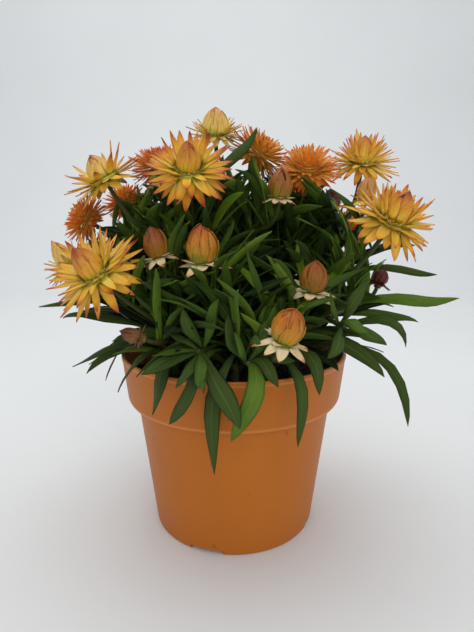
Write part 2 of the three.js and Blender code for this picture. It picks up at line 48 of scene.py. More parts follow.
# Each light's place, aim, size, power and colour
LIGHTS = {
    "overhead softbox": ((-0.08, 0.15, 1.3), (0, 0.1, 0.1), 1.2, 5.2, (1.0, 0.99, 0.97)),
    "front fill": ((0.4, -1.6, 1.0), (0, 0.3, 0.25), 1.4, 8.2, (1.0, 0.97, 0.91)),
    "wall wash": ((-0.3, 0.3, 1.6), (0, 1.6, 0.9), 1.2, 5.4, (0.95, 0.99, 1.0)),
}
SWEEP = {"front": 2.5, "back": 0.9, "turn": 0.7, "height": 2.4, "half_width": 3.0}

# Pot: how far its shelf runs outwards and up, and how far its inside corners lie above the
# outside ones, over the body and under the collar
POT = {"sides": 128, "wall": 1.4, "plate": 1.6, "lip": 2.0, "proud": 0.4, "rim": 1.7,
       "shelf": (3.6, 0.7), "over_body": 1.2, "under_collar": 1.5}
BASE_RADIUS = 47.4
BODY_TOP = (56.6, 74.2)
COLLAR_LOW = (62.0, 77.3)
RIM = (65.0, 102.8)
RECESS = {"count": 4, "first": 72, "half": 11.5, "inner": 33, "height": 2.5, "cheek": 2,
          "hole": 2.5, "hole_at": 39.5}
# How far a cutter reaches past what it cuts, a drain hole's sides, and the angle of sharp edges
PAST, HOLE_SIDES, SHARP = 5, 20, 35

SOIL_LEVEL, SOIL_LUMP = 88.0, 1.1
SOIL_SIDE = ((0, 4.4), (46.0, 4.4), (54.9, 76.0), (60.3, 79.4))
SOIL_TOP = {"radius": 60.9, "rings": 30, "sides": 96, "grain": 0.45}
# Crumbs, fine and long: how many on a square metre, their size in metres, stretch and seed
CRUMBS = ((95000.0, 0.0013, 1.0, 3), (9000.0, 0.0018, 2.2, 40))

# The gap under a head, and how far its neck reaches below its base
SEAT, NECK_DEPTH = 0.3, 4.0
STEM = {"trunk": 2.1, "twig": 1.5, "neck": 1.1, "pull": 0.42, "collar": 4.0, "rooted": 22,
        "steps": 20}

# Leaves: pairs run from a shoot's foot to its top, but size and droop are the least and the
# range. The tone pair is painted light: leaves low on a shoot are painted darker, high ones paler.
# LEAFY_SHARES: how much of a main and of a side shoot is leafy, and from what share
LEAF = {"sink": 0.75, "tries": 13, "pitch": 8.6, "turn": 0.8, "spread": 16, "swing": 16,
        "lifts": (0, 6, -12), "rise": (30, 62), "rise_spread": 18, "droop": (22, 34),
        "length": (64, 34), "width": (9.4, 6.4), "size": (0.85, 0.3), "roll": 50,
        "tone": (-0.1, 0.92), "tone_spread": 0.7, "palest": 1.1}
LEAFY_SHARES = ((0.92, 0.03), (0.75, 0.18))
# What every leaf hands to the stems' tree, each with its scale
LEAF_VECTORS = {"root": MM, "bend": MM, "tip": MM, "side": 1.0}
LEAF_VALUES = {"width": MM, "sway": MM, "luck": 1.0, "tone": 1.0, "twist": 1.0, "hang": 1.0}
GOLDEN_ANGLE = 137.5
# Blades: how many sides and steps a bract and a leaf have, and how the steps close up to the tip
BRACT_DIVISIONS, LEAF_DIVISIONS, TIP_CLOSENESS = (8, 6), (8, 10), 1.35
# Random draws: their range, factor and step, and what each leaf's seed is made of
DRAW_RANGE, DRAW_FACTOR, DRAW_STEP = 4294967296, 1664525, 1013904223
STEM_SEED, LEAF_SEED = 7919, 104729
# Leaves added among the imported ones: pitch and first number, the share of a shoot that they
# start above, factors for length, width and roll, how much steeper and paler, and the tries
ADDED_LEAVES = ((2.6, 400, 0, 0.98, 0.8, 2.4, 16, 0, 6),
                (3.6, 900, 0.3, 0.72, 0.62, 3, 30, 0.15, 4))
# Single leaves: their facing, how far under its bend a hanging leaf's tip starts and ranges,
# the painted shade that makes them darker, and their twist and sway
SINGLE = {"face": (0, -0.8, 0.6), "hang": (12, 26), "darker": 0.16, "twist": 1.1, "sway": 0.06}
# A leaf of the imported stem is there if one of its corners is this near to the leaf's tip
FOUND = 0.05
# Added leaves stay inside this dome, and this far over the soil, or over the rim where they pass it
DOME = {"x": 102, "y": 90, "z": 122, "middle": 95}
OVER, INSIDE_RIM = 4, 54
# Heads further back than this are seen from behind
BACK_HALF = 28
CORE_SIDES, FULL_CORE_TOP = 24, 4.8
# Each row of rays and each head's rays are turned by these, and so are the closed rows
RAY_TURNS, CONE_TURNS = (37.0, 13.0), (20.0, 29.0)
# Each kind of head: its slot, the base's radius at which its bracts are full size, its core's
# share of the base, its rays' foot and point, and where its cone starts: the share of the base,
# the height and the first bract's rise
KINDS = {
    "young_bloom": ("yellow_bracts", 9.4, 0.88, (0.76, 2.3), (1.0, 0.6, 72)),
    "full_bloom": ("orange_bracts", 6.6, 0.75, (0.76, 2.3), (0.75, 1.0, 60)),
    "bud": ("bud_bracts", 6, 0.8, (0.85, 2.0), (0.8, -0.8, 50)),
}

# Every head of each kind, in the order of its number: where its outer bracts leave the cone, how
# far it leans from upright and towards which compass side, its base's radius, its cone's height
# and how much of the base the cone fills, the reach of its bracts, and its two papers
HEAD_ROWS = {
    "young_bloom": (
        ((-64, -52, 152), 43, -132, (9.5, 16, 0.62), 14.5, "amber cone", "golden ray"),
        ((-86, -23, 153), 36, 172, (5.4, 16, 0.8), 9, "tan cone", "pale ray"),
        ((-68, -15, 198), 30, -158, (9.4, 13, 0.7), 13, "tan cone", "golden ray"),
        ((-22, -30, 201), 38, -88, (9.4, 15, 0.57), 13.5, "amber cone", "deep ray"),
        ((-10, 6, 224), 14, -90, (6.8, 14.2, 1.06), 9.5, "tan cone", "pale ray"),
        ((73, 8, 209), 18, -88, (7.2, 14.5, 0.8), 13, "amber cone", "honey ray"),
        ((76, -42, 176), 32, -48, (10, 15, 0.66), 12.5, "amber cone", "honey ray"),
        ((34, 52, 190), 36, 72, (9, 15, 0.7), 13.5, "amber cone", "golden ray"),
        ((-56, 58, 168), 42, 128, (9.2, 15, 0.7), 13.5, "tan cone", "honey ray"),
    ),
    "full_bloom": (
        ((-45, 20, 208), 12, -150, (6, 6.5, 1.0), 9.6, "orange ray", "orange ray"),
        ((14, 12, 214), 34, -20, (6.6, 7, 1.0), 10.2, "amber ray", "amber ray"),
        ((41, 0, 204), 34, -88, (7, 7, 1.0), 9, "orange ray", "orange ray"),
        ((-84, 2, 177), 60, -172, (5.6, 6.5, 1.0), 7.4, "orange ray", "orange ray"),
        ((-68, 32, 188), 24, 170, (5.2, 6, 1.0), 7.6, "orange ray", "orange ray"),
        ((-8, 66, 186), 38, 96, (6.6, 7, 1.0), 8.6, "orange ray", "orange ray"),
        ((76, 42, 170), 46, 34, (6.2, 6.5, 1.0), 8, "orange ray", "orange ray"),
    ),
    "bud": (
        ((-14, -48, 158), 10, -110, (6.6, 16.5, 1.0), 7, "russet bud", "cream ray"),
        ((-36, -42, 160), 16, -162, (5, 14, 1.0), 6, "dusky bud", "cream ray"),
        ((37, -52, 145), 14, -72, (5.8, 13.5, 1.0), 6.4, "dusky bud", "cream ray"),
        ((22, -78, 127), 22, -52, (6.2, 14.5, 1.0), 7.6, "russet bud", "cream ray"),
        ((24, -20, 189), 6, -60, (5.4, 14, 1.0), 5, "salmon bud", "cream ray"),
        ((69, -18, 188), 8, -60, (4.2, 10.5, 1.0), 5.5, "blush bud", "golden ray"),
        ((80, -14, 144), 18, -20, (3.7, 6.8, 1.0), 3.6, "crimson bud", "crimson bud"),
        ((58, 12, 186), 12, 178, (4.6, 9, 1.0), 6, "crimson bud", "orange ray"),
        ((-46, -51, 121), 68, -165, (2.5, 9, 1.0), 4, "withered bud", "withered bud"),
        ((34, 74, 152), 24, 62, (6, 14, 1.0), 7, "russet bud", "cream ray"),
        ((-30, 80, 148), 26, 116, (5.4, 13, 1.0), 6.4, "russet bud", "cream ray"),
    ),
}
HEADS = {f"{kind}_{number}": (kind, *row) for kind, rows in HEAD_ROWS.items()
         for number, row in enumerate(rows, 1)}

# Every leafy stem, in the order of its number: where it stands in the soil, and its heads, each
# with the share of the way up the main shoot at which its side shoot starts, or 0 for the main one
LEAFY_STEMS = (
    ((-27, -21), {"young_bloom_1": 0, "bud_9": 0.2}),
    ((-34, -3), {"full_bloom_4": 0, "young_bloom_2": 0.35}),
    ((-21, 8), {"young_bloom_3": 0, "full_bloom_5": 0.45}),
    ((-14, -14), {"young_bloom_4": 0, "bud_2": 0.4}),
    ((-5, 10), {"young_bloom_5": 0, "full_bloom_1": 0.4}),
    ((9, 8), {"full_bloom_2": 0, "bud_5": 0.5}),
    ((22, 2), {"full_bloom_3": 0, "bud_8": 0.55}),
    ((35, 4), {"young_bloom_6": 0, "bud_6": 0.5}),
    ((32, -15), {"young_bloom_7": 0, "bud_7": 0.35}),
    ((1, -29), {"bud_1": 0, "bud_4": 0.15}),
    ((18, -24), {"bud_3": 0}),
    ((16, 27), {"young_bloom_8": 0, "full_bloom_7": 0.35, "bud_10": 0.3}),
    ((-4, 34), {"full_bloom_6": 0, "bud_11": 0.35}),
    ((-27, 25), {"young_bloom_9": 0}),
)

# Leaves that stand out one by one: the stem, how far up its main shoot they grow, the bend, the
# tip, the width, and how bright the leaf is. Above 1.2 it is withered.
SINGLE_LEAVES = (
    (1, 0.16, (-11, -72, 122), (-28, -73, 84), 8.5, 0.1),
    (10, 0.14, (-1, -80, 137), (-9, -73, 62), 8.5, 0.15),
    (10, 0.2, (11, -84, 129), (4, -76, 76), 9.5, 1.05),
    (11, 0.14, (22, -74, 128), (34, -74, 75), 5.8, 0.45),
    (11, 0.24, (32, -66, 124), (42, -73, 101), 7.5, 0.1),
    (10, 0.22, (-14, -72, 128), (-14, -79, 103), 7, 0.6),
    (1, 0.1, (-30, -62, 126), (-36, -71, 90), 10, 0.0),
    (1, 0.2, (-46, -54, 122), (-52, -62, 97), 7, 0.3),
    (2, 0.2, (-63, -40, 117), (-79, -48, 105), 6.8, 0.4),
    (2, 0.14, (-60, -32, 116), (-76, -38, 98), 6, 0.15),
    (9, 0.36, (90, -40, 147), (114, -36, 137), 6.6, 1.0),
    (8, 0.42, (94, -4, 155), (113, -12, 149), 4.8, 0.5),
    (8, 0.5, (84, -8, 160), (95, -20, 166), 6, 0.4),
    (9, 0.3, (78, -44, 142), (88, -46, 126), 5.4, 0.6),
    (9, 0.22, (72, -50, 136), (84, -54, 118), 5.4, 0.3),
    (11, 0.45, (50, -60, 138), (66, -68, 106), 8, 0.15),
    (9, 0.14, (68, -46, 130), (84, -62, 80), 5.2, 0.1),
    (4, 0.82, (-2, -15, 211), (12, -12, 225), 6, 0.1),
    (2, 0.4, (-76, -34, 138), (-98, -32, 133), 6, 0.2),
    (1, 0.36, (-70, -42, 136), (-86, -42, 129), 7, 0.1),
    (11, 0.34, (14, -70, 146), (4, -72, 168), 6.5, 0.6),
    (10, 0.3, (0, -80, 128), (6, -82, 147), 8, 0.9),
)

# Rosettes of leaves in front of the plant: the stem, how far up its main shoot the rosette's own
# shoot starts, the rosette's middle, and each leaf's bend, tip, width and brightness
ROSETTES = (
    (10, 0.22, (-16, -62, 117), (
        ((-19, -66, 128), (-23, -65, 137), 7, 0.5), ((-12, -67, 129), (-5, -68, 142), 6, 0.8),
        ((-26, -70, 121), (-35, -76, 118), 5, 0.75), ((-29, -72, 117), (-40, -74, 110), 9, 0.15),
        ((-19, -74, 114), (-25, -76, 104), 6.5, 0.4), ((-15, -80, 116), (-14, -79, 104), 7.5, 0.7),
        ((-9, -75, 117), (1, -78, 86), 10.5, 0.15), ((-22, -62, 124), (-32, -60, 126), 6, 0.3))),
    (10, 0.12, (7, -68, 113), (
        ((-1, -72, 125), (-2, -72, 135), 9, 0.45), ((7, -74, 132), (10, -79, 121), 6, 0.6),
        ((5, -76, 121), (1, -77, 129), 6, 0.85), ((14, -76, 120), (20, -80, 106), 7, 0.3),
        ((16, -72, 119), (28, -70, 116), 6, 0.5), ((12, -72, 122), (16, -74, 134), 6, 0.6))),
    (9, 0.3, (52, -58, 128), (
        ((52, -66, 134), (60, -70, 128), 6, 0.85), ((46, -64, 136), (42, -66, 146), 6, 0.7),
        ((56, -62, 138), (58, -62, 150), 6.5, 0.45), ((60, -64, 130), (68, -66, 120), 6.5, 0.5),
        ((48, -68, 124), (42, -72, 116), 7, 0.25))),
)
WITHERED_LEAVES = (
    (2, 0.1, (-68, -10, 128), (-70, -8, 86), 4, 1.5),
    (1, 0.12, (-48, -46, 120), (-58, -48, 111), 6, 1.4),
)


def plain_mesh(name, corners, edges, faces):
    mesh = bpy.data.meshes.new(name)
    mesh.from_pydata(corners, edges, faces)
    return mesh


def put_in_scene(name, data):
    placed = bpy.data.objects.new(name, data)
    bpy.context.scene.collection.objects.link(placed)
    return placed


# Camera, light and floor
def add_camera():
    camera = put_in_scene("camera", bpy.data.cameras.new("camera"))
    camera.location = CAMERA["place"]
    camera.rotation_euler = (radians(90 - CAMERA["tilt"]), 0, 0)
    camera.data.sensor_fit = "VERTICAL"
    camera.data.sensor_height = CAMERA["film"]
    camera.data.lens = CAMERA["lens"]
    camera.data.clip_start = CAMERA["near"]
    bpy.context.scene.camera = camera


def linear(red, green, blue):
    """A paint colour out of 255, as the linear colour that a shader takes."""
    def one(value):
        share = value / 255
        return share / 12.92 if share <= 0.04045 else ((share + 0.055) / 1.055) ** 2.4
    return one(red), one(green), one(blue), 1.0


def add_studio():
    world = bpy.data.worlds.new("studio")
    world.use_nodes = True
    for label, value in SKY.items():
        world.node_tree.nodes["Background"].inputs[label].default_value = value
    bpy.context.scene.world = world
    bpy.context.scene.view_settings.view_transform = "Standard"
    for name, (place, aim, size, power, color) in LIGHTS.items():
        light = bpy.data.lights.new(name, "AREA")
        light.size = size
        light.energy = power
        light.color = color
        lamp = put_in_scene(name, light)
        lamp.location = place
        lamp.rotation_euler = (Vector(aim) - Vector(place)).to_track_quat("-Z", "Y").to_euler()


def add_floor():
    """A pale paper sweep: level under the pot, and turning up into a wall behind it."""
    turn, back, half_width = SWEEP["turn"], SWEEP["back"], SWEEP["half_width"]
    profile = [(-SWEEP["front"], 0), (0, 0)]
    profile += [(back + turn * sin(a), turn - turn * cos(a))
                for a in (radians(90 * i / 24) for i in range(25))]
    profile.append((back + turn, SWEEP["height"]))
    corners = [(x, y, z) for y, z in profile for x in (-half_width, half_width)]
    faces = [(2 * i, 2 * i + 1, 2 * i + 3, 2 * i + 2) for i in range(len(profile) - 1)]
    mesh = plain_mesh("paper_sweep", corners, [], faces)
    mesh.shade_smooth()
    mesh.materials.append(paper_sweep_material())
    sweep = put_in_scene("paper_sweep", mesh)


# Nodes
class Field:
    """One output of a node. Sums and products of fields make further nodes in the same tree."""

    def __init__(self, tree, socket):
        self.tree = tree
        self.socket = socket

    def __neg__(self):
        return calc("MULTIPLY", self, -1.0)

    def __abs__(self):
        return calc("ABSOLUTE", self)


def let_fields(word, operation):
    """Gives fields one operator, with the field on either side of it."""
    setattr(Field, f"__{word}__", lambda field, other: calc(operation, field, other))
    setattr(Field, f"__r{word}__", lambda field, other: calc(operation, other, field))


for word, operation in (("add", "ADD"), ("sub", "SUBTRACT"), ("mul", "MULTIPLY"),
                        ("truediv", "DIVIDE"), ("pow", "POWER")):
    let_fields(word, operation)


def node(tree, kind, feeds, output=0, **settings):
    """One node with its settings, fed by fields or plain values, and the field of one output."""
    made = tree.nodes.new(kind)
    for key, value in settings.items():
        setattr(made, key, value)
    for place, value in feeds.items():
        if isinstance(value, Field):
            tree.links.new(value.socket, made.inputs[place])
        else:
            made.inputs[place].default_value = value
    return Field(tree, made.outputs[output])


def calc(operation, *values):
    tree = next(value.tree for value in values if isinstance(value, Field))
    vectors = [isinstance(value, Field) and value.socket.type == "VECTOR" for value in values]
    if not any(vectors):
        return node(tree, "ShaderNodeMath", dict(enumerate(values)), operation=operation)
    if operation == "MULTIPLY" and not all(vectors):
        vector, scale = values if vectors[0] else values[::-1]
        return node(tree, "ShaderNodeVectorMath", {0: vector, 3: scale}, operation="SCALE")
    output = int(operation == "DOT_PRODUCT")
    return node(tree, "ShaderNodeVectorMath", dict(enumerate(values)), output, operation=operation)


def sine(angle):
    return calc("SINE", angle)


def cosine(angle):
    return calc("COSINE", angle)


def held(value, low=0.0, high=1.0):
    return calc("MINIMUM", calc("MAXIMUM", value, low), high)


def vector(tree, x, y, z):
    return node(tree, "ShaderNodeCombineXYZ", {0: x, 1: y, 2: z})


def parts(field):
    split = field.tree.nodes.new("ShaderNodeSeparateXYZ")
    field.tree.links.new(field.socket, split.inputs[0])
    return [Field(field.tree, output) for output in split.outputs]


class Nodes:
    """What trees and materials share: nodes of one family, and reading values by name."""

    def node(self, kind, feeds, output=0, **settings):
        return node(self.tree, self.family + kind, feeds, output, **settings)

    def reads(self, *names):
        return [self.read(name) for name in names]


# Geometry Nodes trees
class Tree(Nodes):
    """A Geometry Nodes tree: one geometry in and out, and named inputs."""

    family = "GeometryNode"

    def __init__(self, name, **inputs):
        self.tree = bpy.data.node_groups.new(name, "GeometryNodeTree")
        interface = self.tree.interface
        interface.new_socket("Geometry", in_out="INPUT", socket_type="NodeSocketGeometry")
        self.sockets = {}
        for label, value in inputs.items():
            kind = {float: "Float", int: "Int", type(None): "Material"}[type(value)]
            socket = interface.new_socket(label.replace("_", " ").capitalize(), in_out="INPUT",
                                          socket_type="NodeSocket" + kind)
            if value is not None:
                socket.default_value = value
            self.sockets[label] = socket.identifier
        interface.new_socket("Geometry", in_out="OUTPUT", socket_type="NodeSocketGeometry")
        self.entry = self.tree.nodes.new("NodeGroupInput")
        self.geometry = Field(self.tree, self.entry.outputs[0])

    def __getitem__(self, label):
        outputs = {socket.identifier: socket for socket in self.entry.outputs}
        return Field(self.tree, outputs[self.sockets[label]])

    def read(self, name, kind="FLOAT"):
        return self.node("InputNamedAttribute", {"Name": name}, data_type=kind)

    def store(self, geometry, name, value, kind="FLOAT"):
        return self.node("StoreNamedAttribute",
                         {"Geometry": geometry, "Name": name, "Value": value},
                         data_type=kind, domain="POINT")

    def draw(self, key, step, low=-1.0, high=1.0):
        """A random number that stays the same for each key, step and seed of the tree."""
        feeds = {2: low, 3: high, "ID": key, "Seed": self["seed"] + step}
        return node(self.tree, "FunctionNodeRandomValue", feeds, 1, data_type="FLOAT")

    def put_at(self, points, instance, **more):
        placed = self.node("InstanceOnPoints", {"Points": points, "Instance": instance, **more})
        return self.node("RealizeInstances", {"Geometry": placed})

    def dressed(self, geometry, material):
        smooth = self.node("SetShadeSmooth", {"Geometry": geometry})
        return self.node("SetMaterial", {"Geometry": smooth, "Material": material})

    def finish(self, *geometries):
        joined = self.tree.nodes.new("GeometryNodeJoinGeometry")
        for geometry in reversed(geometries):
            self.tree.links.new(geometry.socket, joined.inputs[0])
        leave = self.tree.nodes.new("NodeGroupOutput")
        self.tree.links.new(joined.outputs[0], leave.inputs[0])
        return self

    def put_on(self, piece, **values):
        modifier = piece.modifiers.new(self.tree.name, "NODES")
        modifier.node_group = self.tree
        for label, value in values.items():
            modifier[self.sockets[label]] = value


def blades_on(maker, points, sides, steps):
    """A thin closed tube on every point, with its steps closer together towards its tip."""
    tube = maker.node("MeshCylinder", {
        "Vertices": sides, "Side Segments": steps, "Radius": 1.0, "Depth": 1.0}, fill_type="NGON")
    x, y, z = parts(maker.node("InputPosition", {}))
    along = 1.0 - (0.5 - z) ** TIP_CLOSENESS
    for name, value in (("across", x), ("above", y), ("along", along)):
        tube = maker.store(tube, name, value)
    return maker.put_at(points, tube)


def whorl_of_bracts():
    """Papery bracts round a head's axis. Each rises from a ring and bends as an arc."""
    maker = Tree("whorl of bracts", bracts=12, turn=0.0, arc=360.0, ring_radius=0.01,
                 ring_height=0.0, rise=0.0, rise_spread=10.0, curl=10.0, curl_spread=0.2,
                 reach=0.013, reach_spread=0.18, width=0.004, foot_width=0.6, point=3.0, cup=0.2,
                 overlap=0.0, span=1.0, thickness=0.0004, sway=0.1, shade=0.5, seed=1,
                 material=None)
    points = maker.node("Points", {"Count": maker["bracts"]})
    points = maker.store(points, "bract", maker.node("InputIndex", {}), "INT")
    body = blades_on(maker, points, *BRACT_DIVISIONS)
    along, across, above = maker.reads("along", "across", "above")
    bract = maker.read("bract", "INT")
    degree = pi / 180
    spot = (bract + maker.draw(bract, 0, 0.28, 0.72)) / maker["bracts"] - 0.5
    around = (spot * maker["arc"] + maker["turn"]) * degree
    rise = (maker["rise"] + maker["rise_spread"] * maker.draw(bract, 1)) * degree
    bow = maker["curl"] * degree * (1.0 + maker["curl_spread"] * maker.draw(bract, 2))
    reach = maker["reach"] * (1.0 + maker["reach_spread"] * maker.draw(bract, 3))
    lean = rise + bow * along
    out = maker["ring_radius"] + reach * (sine(lean) - sine(rise)) / bow
    height = maker["ring_height"] + reach * (cosine(rise) - cosine(lean)) / bow
    swell = sine(calc("MINIMUM", along / 0.45, 1.0) * (pi / 2))
    form = maker["foot_width"] + (1.0 - maker["foot_width"]) * swell
    form = form * (1.0 - along ** maker["point"]) ** 0.75 + 0.03
    half = maker["width"] / 2.0 * form * maker.draw(bract, 4, 0.85, 1.12)
    lift = half * across * (maker["cup"] * across + maker["overlap"])
    lift = above * maker["thickness"] / 2.0 + lift
    sideways = half * across + reach * maker["sway"] * maker.draw(bract, 5) * along * along
    out = out - lift * sine(lean)
    height = height + lift * cosine(lean)
    place = vector(maker.tree, out * cosine(around) - sideways * sine(around),
                   out * sine(around) + sideways * cosine(around), height)
    body = maker.node("SetPosition", {"Geometry": body, "Position": place})
    body = maker.store(body, "along", along * maker["span"])
    body = maker.store(body, "shade", maker["shade"] + maker.draw(bract, 6, -0.5, 0.5))
    return maker.finish(maker.geometry, maker.dressed(body, maker["material"]))


def shoots_and_leaves():
    """Tapering shoots along the mesh's edges, and a leaf on every point that has a width."""
    maker = Tree("shoots and leaves", leaf_thickness=0.0005, fold=0.34, wave=0.08,
                 shoot_sides=9, stem_material=None, leaf_material=None)
    width, sway, luck, twist, hang = maker.reads("width", "sway", "luck", "twist", "hang")
    has_leaf = calc("GREATER_THAN", width, 0.0)
    points = maker.node("MeshToPoints", {"Mesh": maker.geometry, "Selection": has_leaf})
    leaves = blades_on(maker, points, *LEAF_DIVISIONS)
    along, across, above = maker.reads("along", "across", "above")
    root, bend, tip, side = (maker.read(name, "FLOAT_VECTOR") for name in LEAF_VECTORS)
    back = 1.0 - along
    spine = root * (back * back) + bend * (along * back * 2.0) + tip * (along * along)
    tangent = calc("NORMALIZE", (bend - root) * back + (tip - bend) * along)
    side = calc("NORMALIZE", side - tangent * calc("DOT_PRODUCT", side, tangent))
    face = calc("CROSS_PRODUCT", tangent, side)
    turn = twist * (luck - 0.5) * along * 2.0
    across_way = side * cosine(turn) + face * sine(turn)
    face_way = face * cosine(turn) - side * sine(turn)
    fullest = 0.56 + luck * 0.16 + hang * 0.14
    swell = sine(calc("MINIMUM", along / fullest, 1.0) * (pi / 2))
    form = 0.2 + 0.8 * swell ** (1.7 + hang * 2.6)
    form = form * (1.0 - along ** (3.2 + luck * 3.0 + hang * 5.0)) ** 0.95 + 0.02
    half = width / 2.0 * form
    ripple = sine(along * 12.0 + luck * 30.0) * maker["wave"] * across * (1.0 + sine(luck * 40.0))
    lift = half * (maker["fold"] * abs(across) * (1.2 - along) + ripple)
    lift = lift + above * maker["leaf_thickness"] * (0.5 + 0.9 * (1.0 - across * across) * back)
    sway = sine(along * 5.4 + luck * 25.0) * sway * along
    place = spine + across_way * (across * half + sway) + face_way * (lift + sway * 0.6)
    leaves = maker.node("SetPosition", {"Geometry": leaves, "Position": place})
    leaves = maker.dressed(leaves, maker["leaf_material"])
    curves = maker.node("MeshToCurve", {"Mesh": maker.geometry})
    ring = maker.node("CurvePrimitiveCircle",
                      {"Resolution": maker["shoot_sides"], "Radius": 1.0}, mode="RADIUS")
    shoots = maker.node("CurveToMesh", {
        "Curve": curves, "Profile Curve": ring, "Scale": maker.read("thick"), "Fill Caps": True})
    return maker.finish(maker.dressed(shoots, maker["stem_material"]), leaves)


def crumbs_on_top():
    """Crumbs scattered over the upward faces of a mound, joined to it."""
    maker = Tree("crumbs on top", per_square_metre=150000.0, size=0.0011, stretch=1.0,
                 edge_radius=0.0595, seed=1, material=None)
    normal = parts(maker.node("InputNormal", {}))[2]
    x, y, _ = parts(maker.node("InputPosition", {}))
    inside = calc("LESS_THAN", x * x + y * y, maker["edge_radius"] * maker["edge_radius"])
    points = maker.node("DistributePointsOnFaces", {
        "Mesh": maker.geometry, "Selection": calc("GREATER_THAN", normal, 0.6) * inside,
        "Density": maker["per_square_metre"], "Seed": maker["seed"]})
    index = maker.node("InputIndex", {})
    crumb = maker.node("MeshIcoSphere", {"Radius": maker["size"], "Subdivisions": 1})
    rough = vector(maker.tree, *(maker.draw(index, i, 0.0, 6.283) for i in range(3)))
    turn = node(maker.tree, "FunctionNodeEulerToRotation", {0: rough})
    scale = vector(maker.tree, maker.draw(index, 3, 0.35, 1.0) * maker["stretch"],
                   maker.draw(index, 4, 0.3, 0.9) / maker["stretch"],
                   maker.draw(index, 5, 0.3, 0.8) / maker["stretch"])
    crumbs = maker.put_at(points, crumb, Rotation=turn, Scale=scale)
    crumbs = maker.node("SetMaterial", {"Geometry": crumbs, "Material": maker["material"]})
    return maker.finish(maker.geometry, crumbs)


def settled(piece, name):
    """The piece's evaluated form as a plain mesh object."""
    graph = bpy.context.evaluated_depsgraph_get()
    mesh = bpy.data.meshes.new_from_object(piece.evaluated_get(graph), depsgraph=graph,
                                           preserve_all_data_layers=True)
    mesh.name = name
    bpy.data.objects.remove(piece)
    return put_in_scene(name, mesh)


def hand_over(piece, slot, *nodes):
    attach(piece, "root")
    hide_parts(*nodes)


# Materials. Their colours are out of 255.
class Finish(Nodes):
    """A material whose colour, roughness and bump come from fields on the piece."""

    family = "ShaderNode"

    def __init__(self, name, **constants):
        self.material = bpy.data.materials.new(name)
        self.material.use_nodes = True
        self.tree = self.material.node_tree
        self.shader = self.tree.nodes["Principled BSDF"]
        for label, value in constants.items():
            self.shader.inputs[label.replace("_", " ")].default_value = value

    def read(self, name):
        return self.node("Attribute", {}, 2, attribute_name=name)

    def place(self, scale=(1, 1, 1)):
        """Object coordinates, stretched by a scale for each axis."""
        spot = self.node("TexCoord", {}, 3)
        return self.node("Mapping", {"Vector": spot, "Scale": scale})

    def noise(self, where, scale, detail=3.0, roughness=0.55):
        return self.node("TexNoise", {
            "Vector": where, "Scale": scale, "Detail": detail, "Roughness": roughness})

    def mix(self, share, *colors):
        first, second = (color if isinstance(color, Field) else linear(*color) for color in colors)
        return self.node("Mix", {0: share, 6: first, 7: second}, 2,
                         data_type="RGBA", clamp_factor=True)

    def ramp(self, share, *stops):
        made = self.tree.nodes.new("ShaderNodeValToRGB")
        self.tree.links.new(share.socket, made.inputs[0])
        elements = made.color_ramp.elements
        for i, (position, color) in enumerate(stops):
            element = elements[i] if i < 2 else elements.new(position)
            element.position = position
            element.color = linear(*color)
        return Field(self.tree, made.outputs[0])

    def paint(self, color, roughness, height, relief):
        bump = self.node("Bump", {"Height": height, "Strength": 1.0, "Distance": relief})
        for field, label in ((color, "Base Color"), (roughness, "Roughness"), (bump, "Normal")):
            self.tree.links.new(field.socket, self.shader.inputs[label])
        return self.material


def paper_sweep_material():
    finish = Finish("pale paper sweep", Specular_IOR_Level=0.2)
    grain = finish.noise(finish.place(), 3.0)
    color = finish.mix(grain, (227, 227, 227), (234, 235, 235))
    return finish.paint(color, grain * 0.1 + 0.7, finish.noise(finish.place(), 900.0), 0.00002)


def pot_material():
    """Satin moulded plastic with a soft mottle, fine tool marks, small dents and faint scuffs.
    The dents hold painted shade, and thin painted highlight lines run along the lip, rim and
    collar.
    """
    finish = Finish("terracotta plastic", Specular_IOR_Level=0.28)
    spot = finish.place()
    mottle = finish.noise(spot, 28.0, 4.0)
    scuffs = finish.noise(finish.place((1, 1, 9)), 60.0, 5.0, 0.7)
    scuffs = held((scuffs - 0.62) * 6.0)
    dent_and_painted_shade = finish.node("TexVoronoi", {"Vector": spot, "Scale": 75.0})
    dent_and_painted_shade = held((1.0 - dent_and_painted_shade * 9.0) * 2.5)
    level = parts(spot)[2]
    # Painted highlight: thin lighter lines where light catches the lip's lower edge, the rim top
    # and the collar's lower edge
    painted_edge_highlight = 0.0
    for edge, sharpness in ((RIM[1] - POT["lip"], 900.0), (RIM[1], 1100.0),
                            (COLLAR_LOW[1] - 0.7, 700.0)):
        painted_edge_highlight = held(1.0 - abs(level - edge * MM) * sharpness) + painted_edge_highlight
    color = finish.mix(mottle, (178, 97, 18), (192, 109, 24))
    color = finish.mix(scuffs * 0.2, color, (220, 150, 88))
    # Painted shade: the colour darkens inside each dent, where shade falls
    color = finish.mix(dent_and_painted_shade * 0.32, color, (128, 64, 16))
    # Mixes in the painted highlight lines at the pot's edges
    color = finish.mix(painted_edge_highlight * (0.2 + 0.5 * mottle), color, (232, 152, 84))
    roughness = 0.42 + mottle * 0.12 + scuffs * 0.15
    height = finish.noise(spot, 900.0, 2.0) * 0.12 + mottle * 0.5 - dent_and_painted_shade * 1.6 + scuffs * 0.2
    return finish.paint(color, roughness, height, 0.00016)


def peat_material():
    finish = Finish("damp peat", Specular_IOR_Level=0.3)
    spot = finish.place()
    fine = finish.noise(spot, 900.0, 5.0, 0.7)
    broad = finish.noise(spot, 60.0)
    color = finish.ramp(fine * 0.7 + broad * 0.4, (0.3, (16, 12, 10)), (0.85, (74, 52, 36)),
                        (0.6, (38, 27, 20)))
    return finish.paint(color, 0.75 + fine * 0.25, fine, 0.0006)


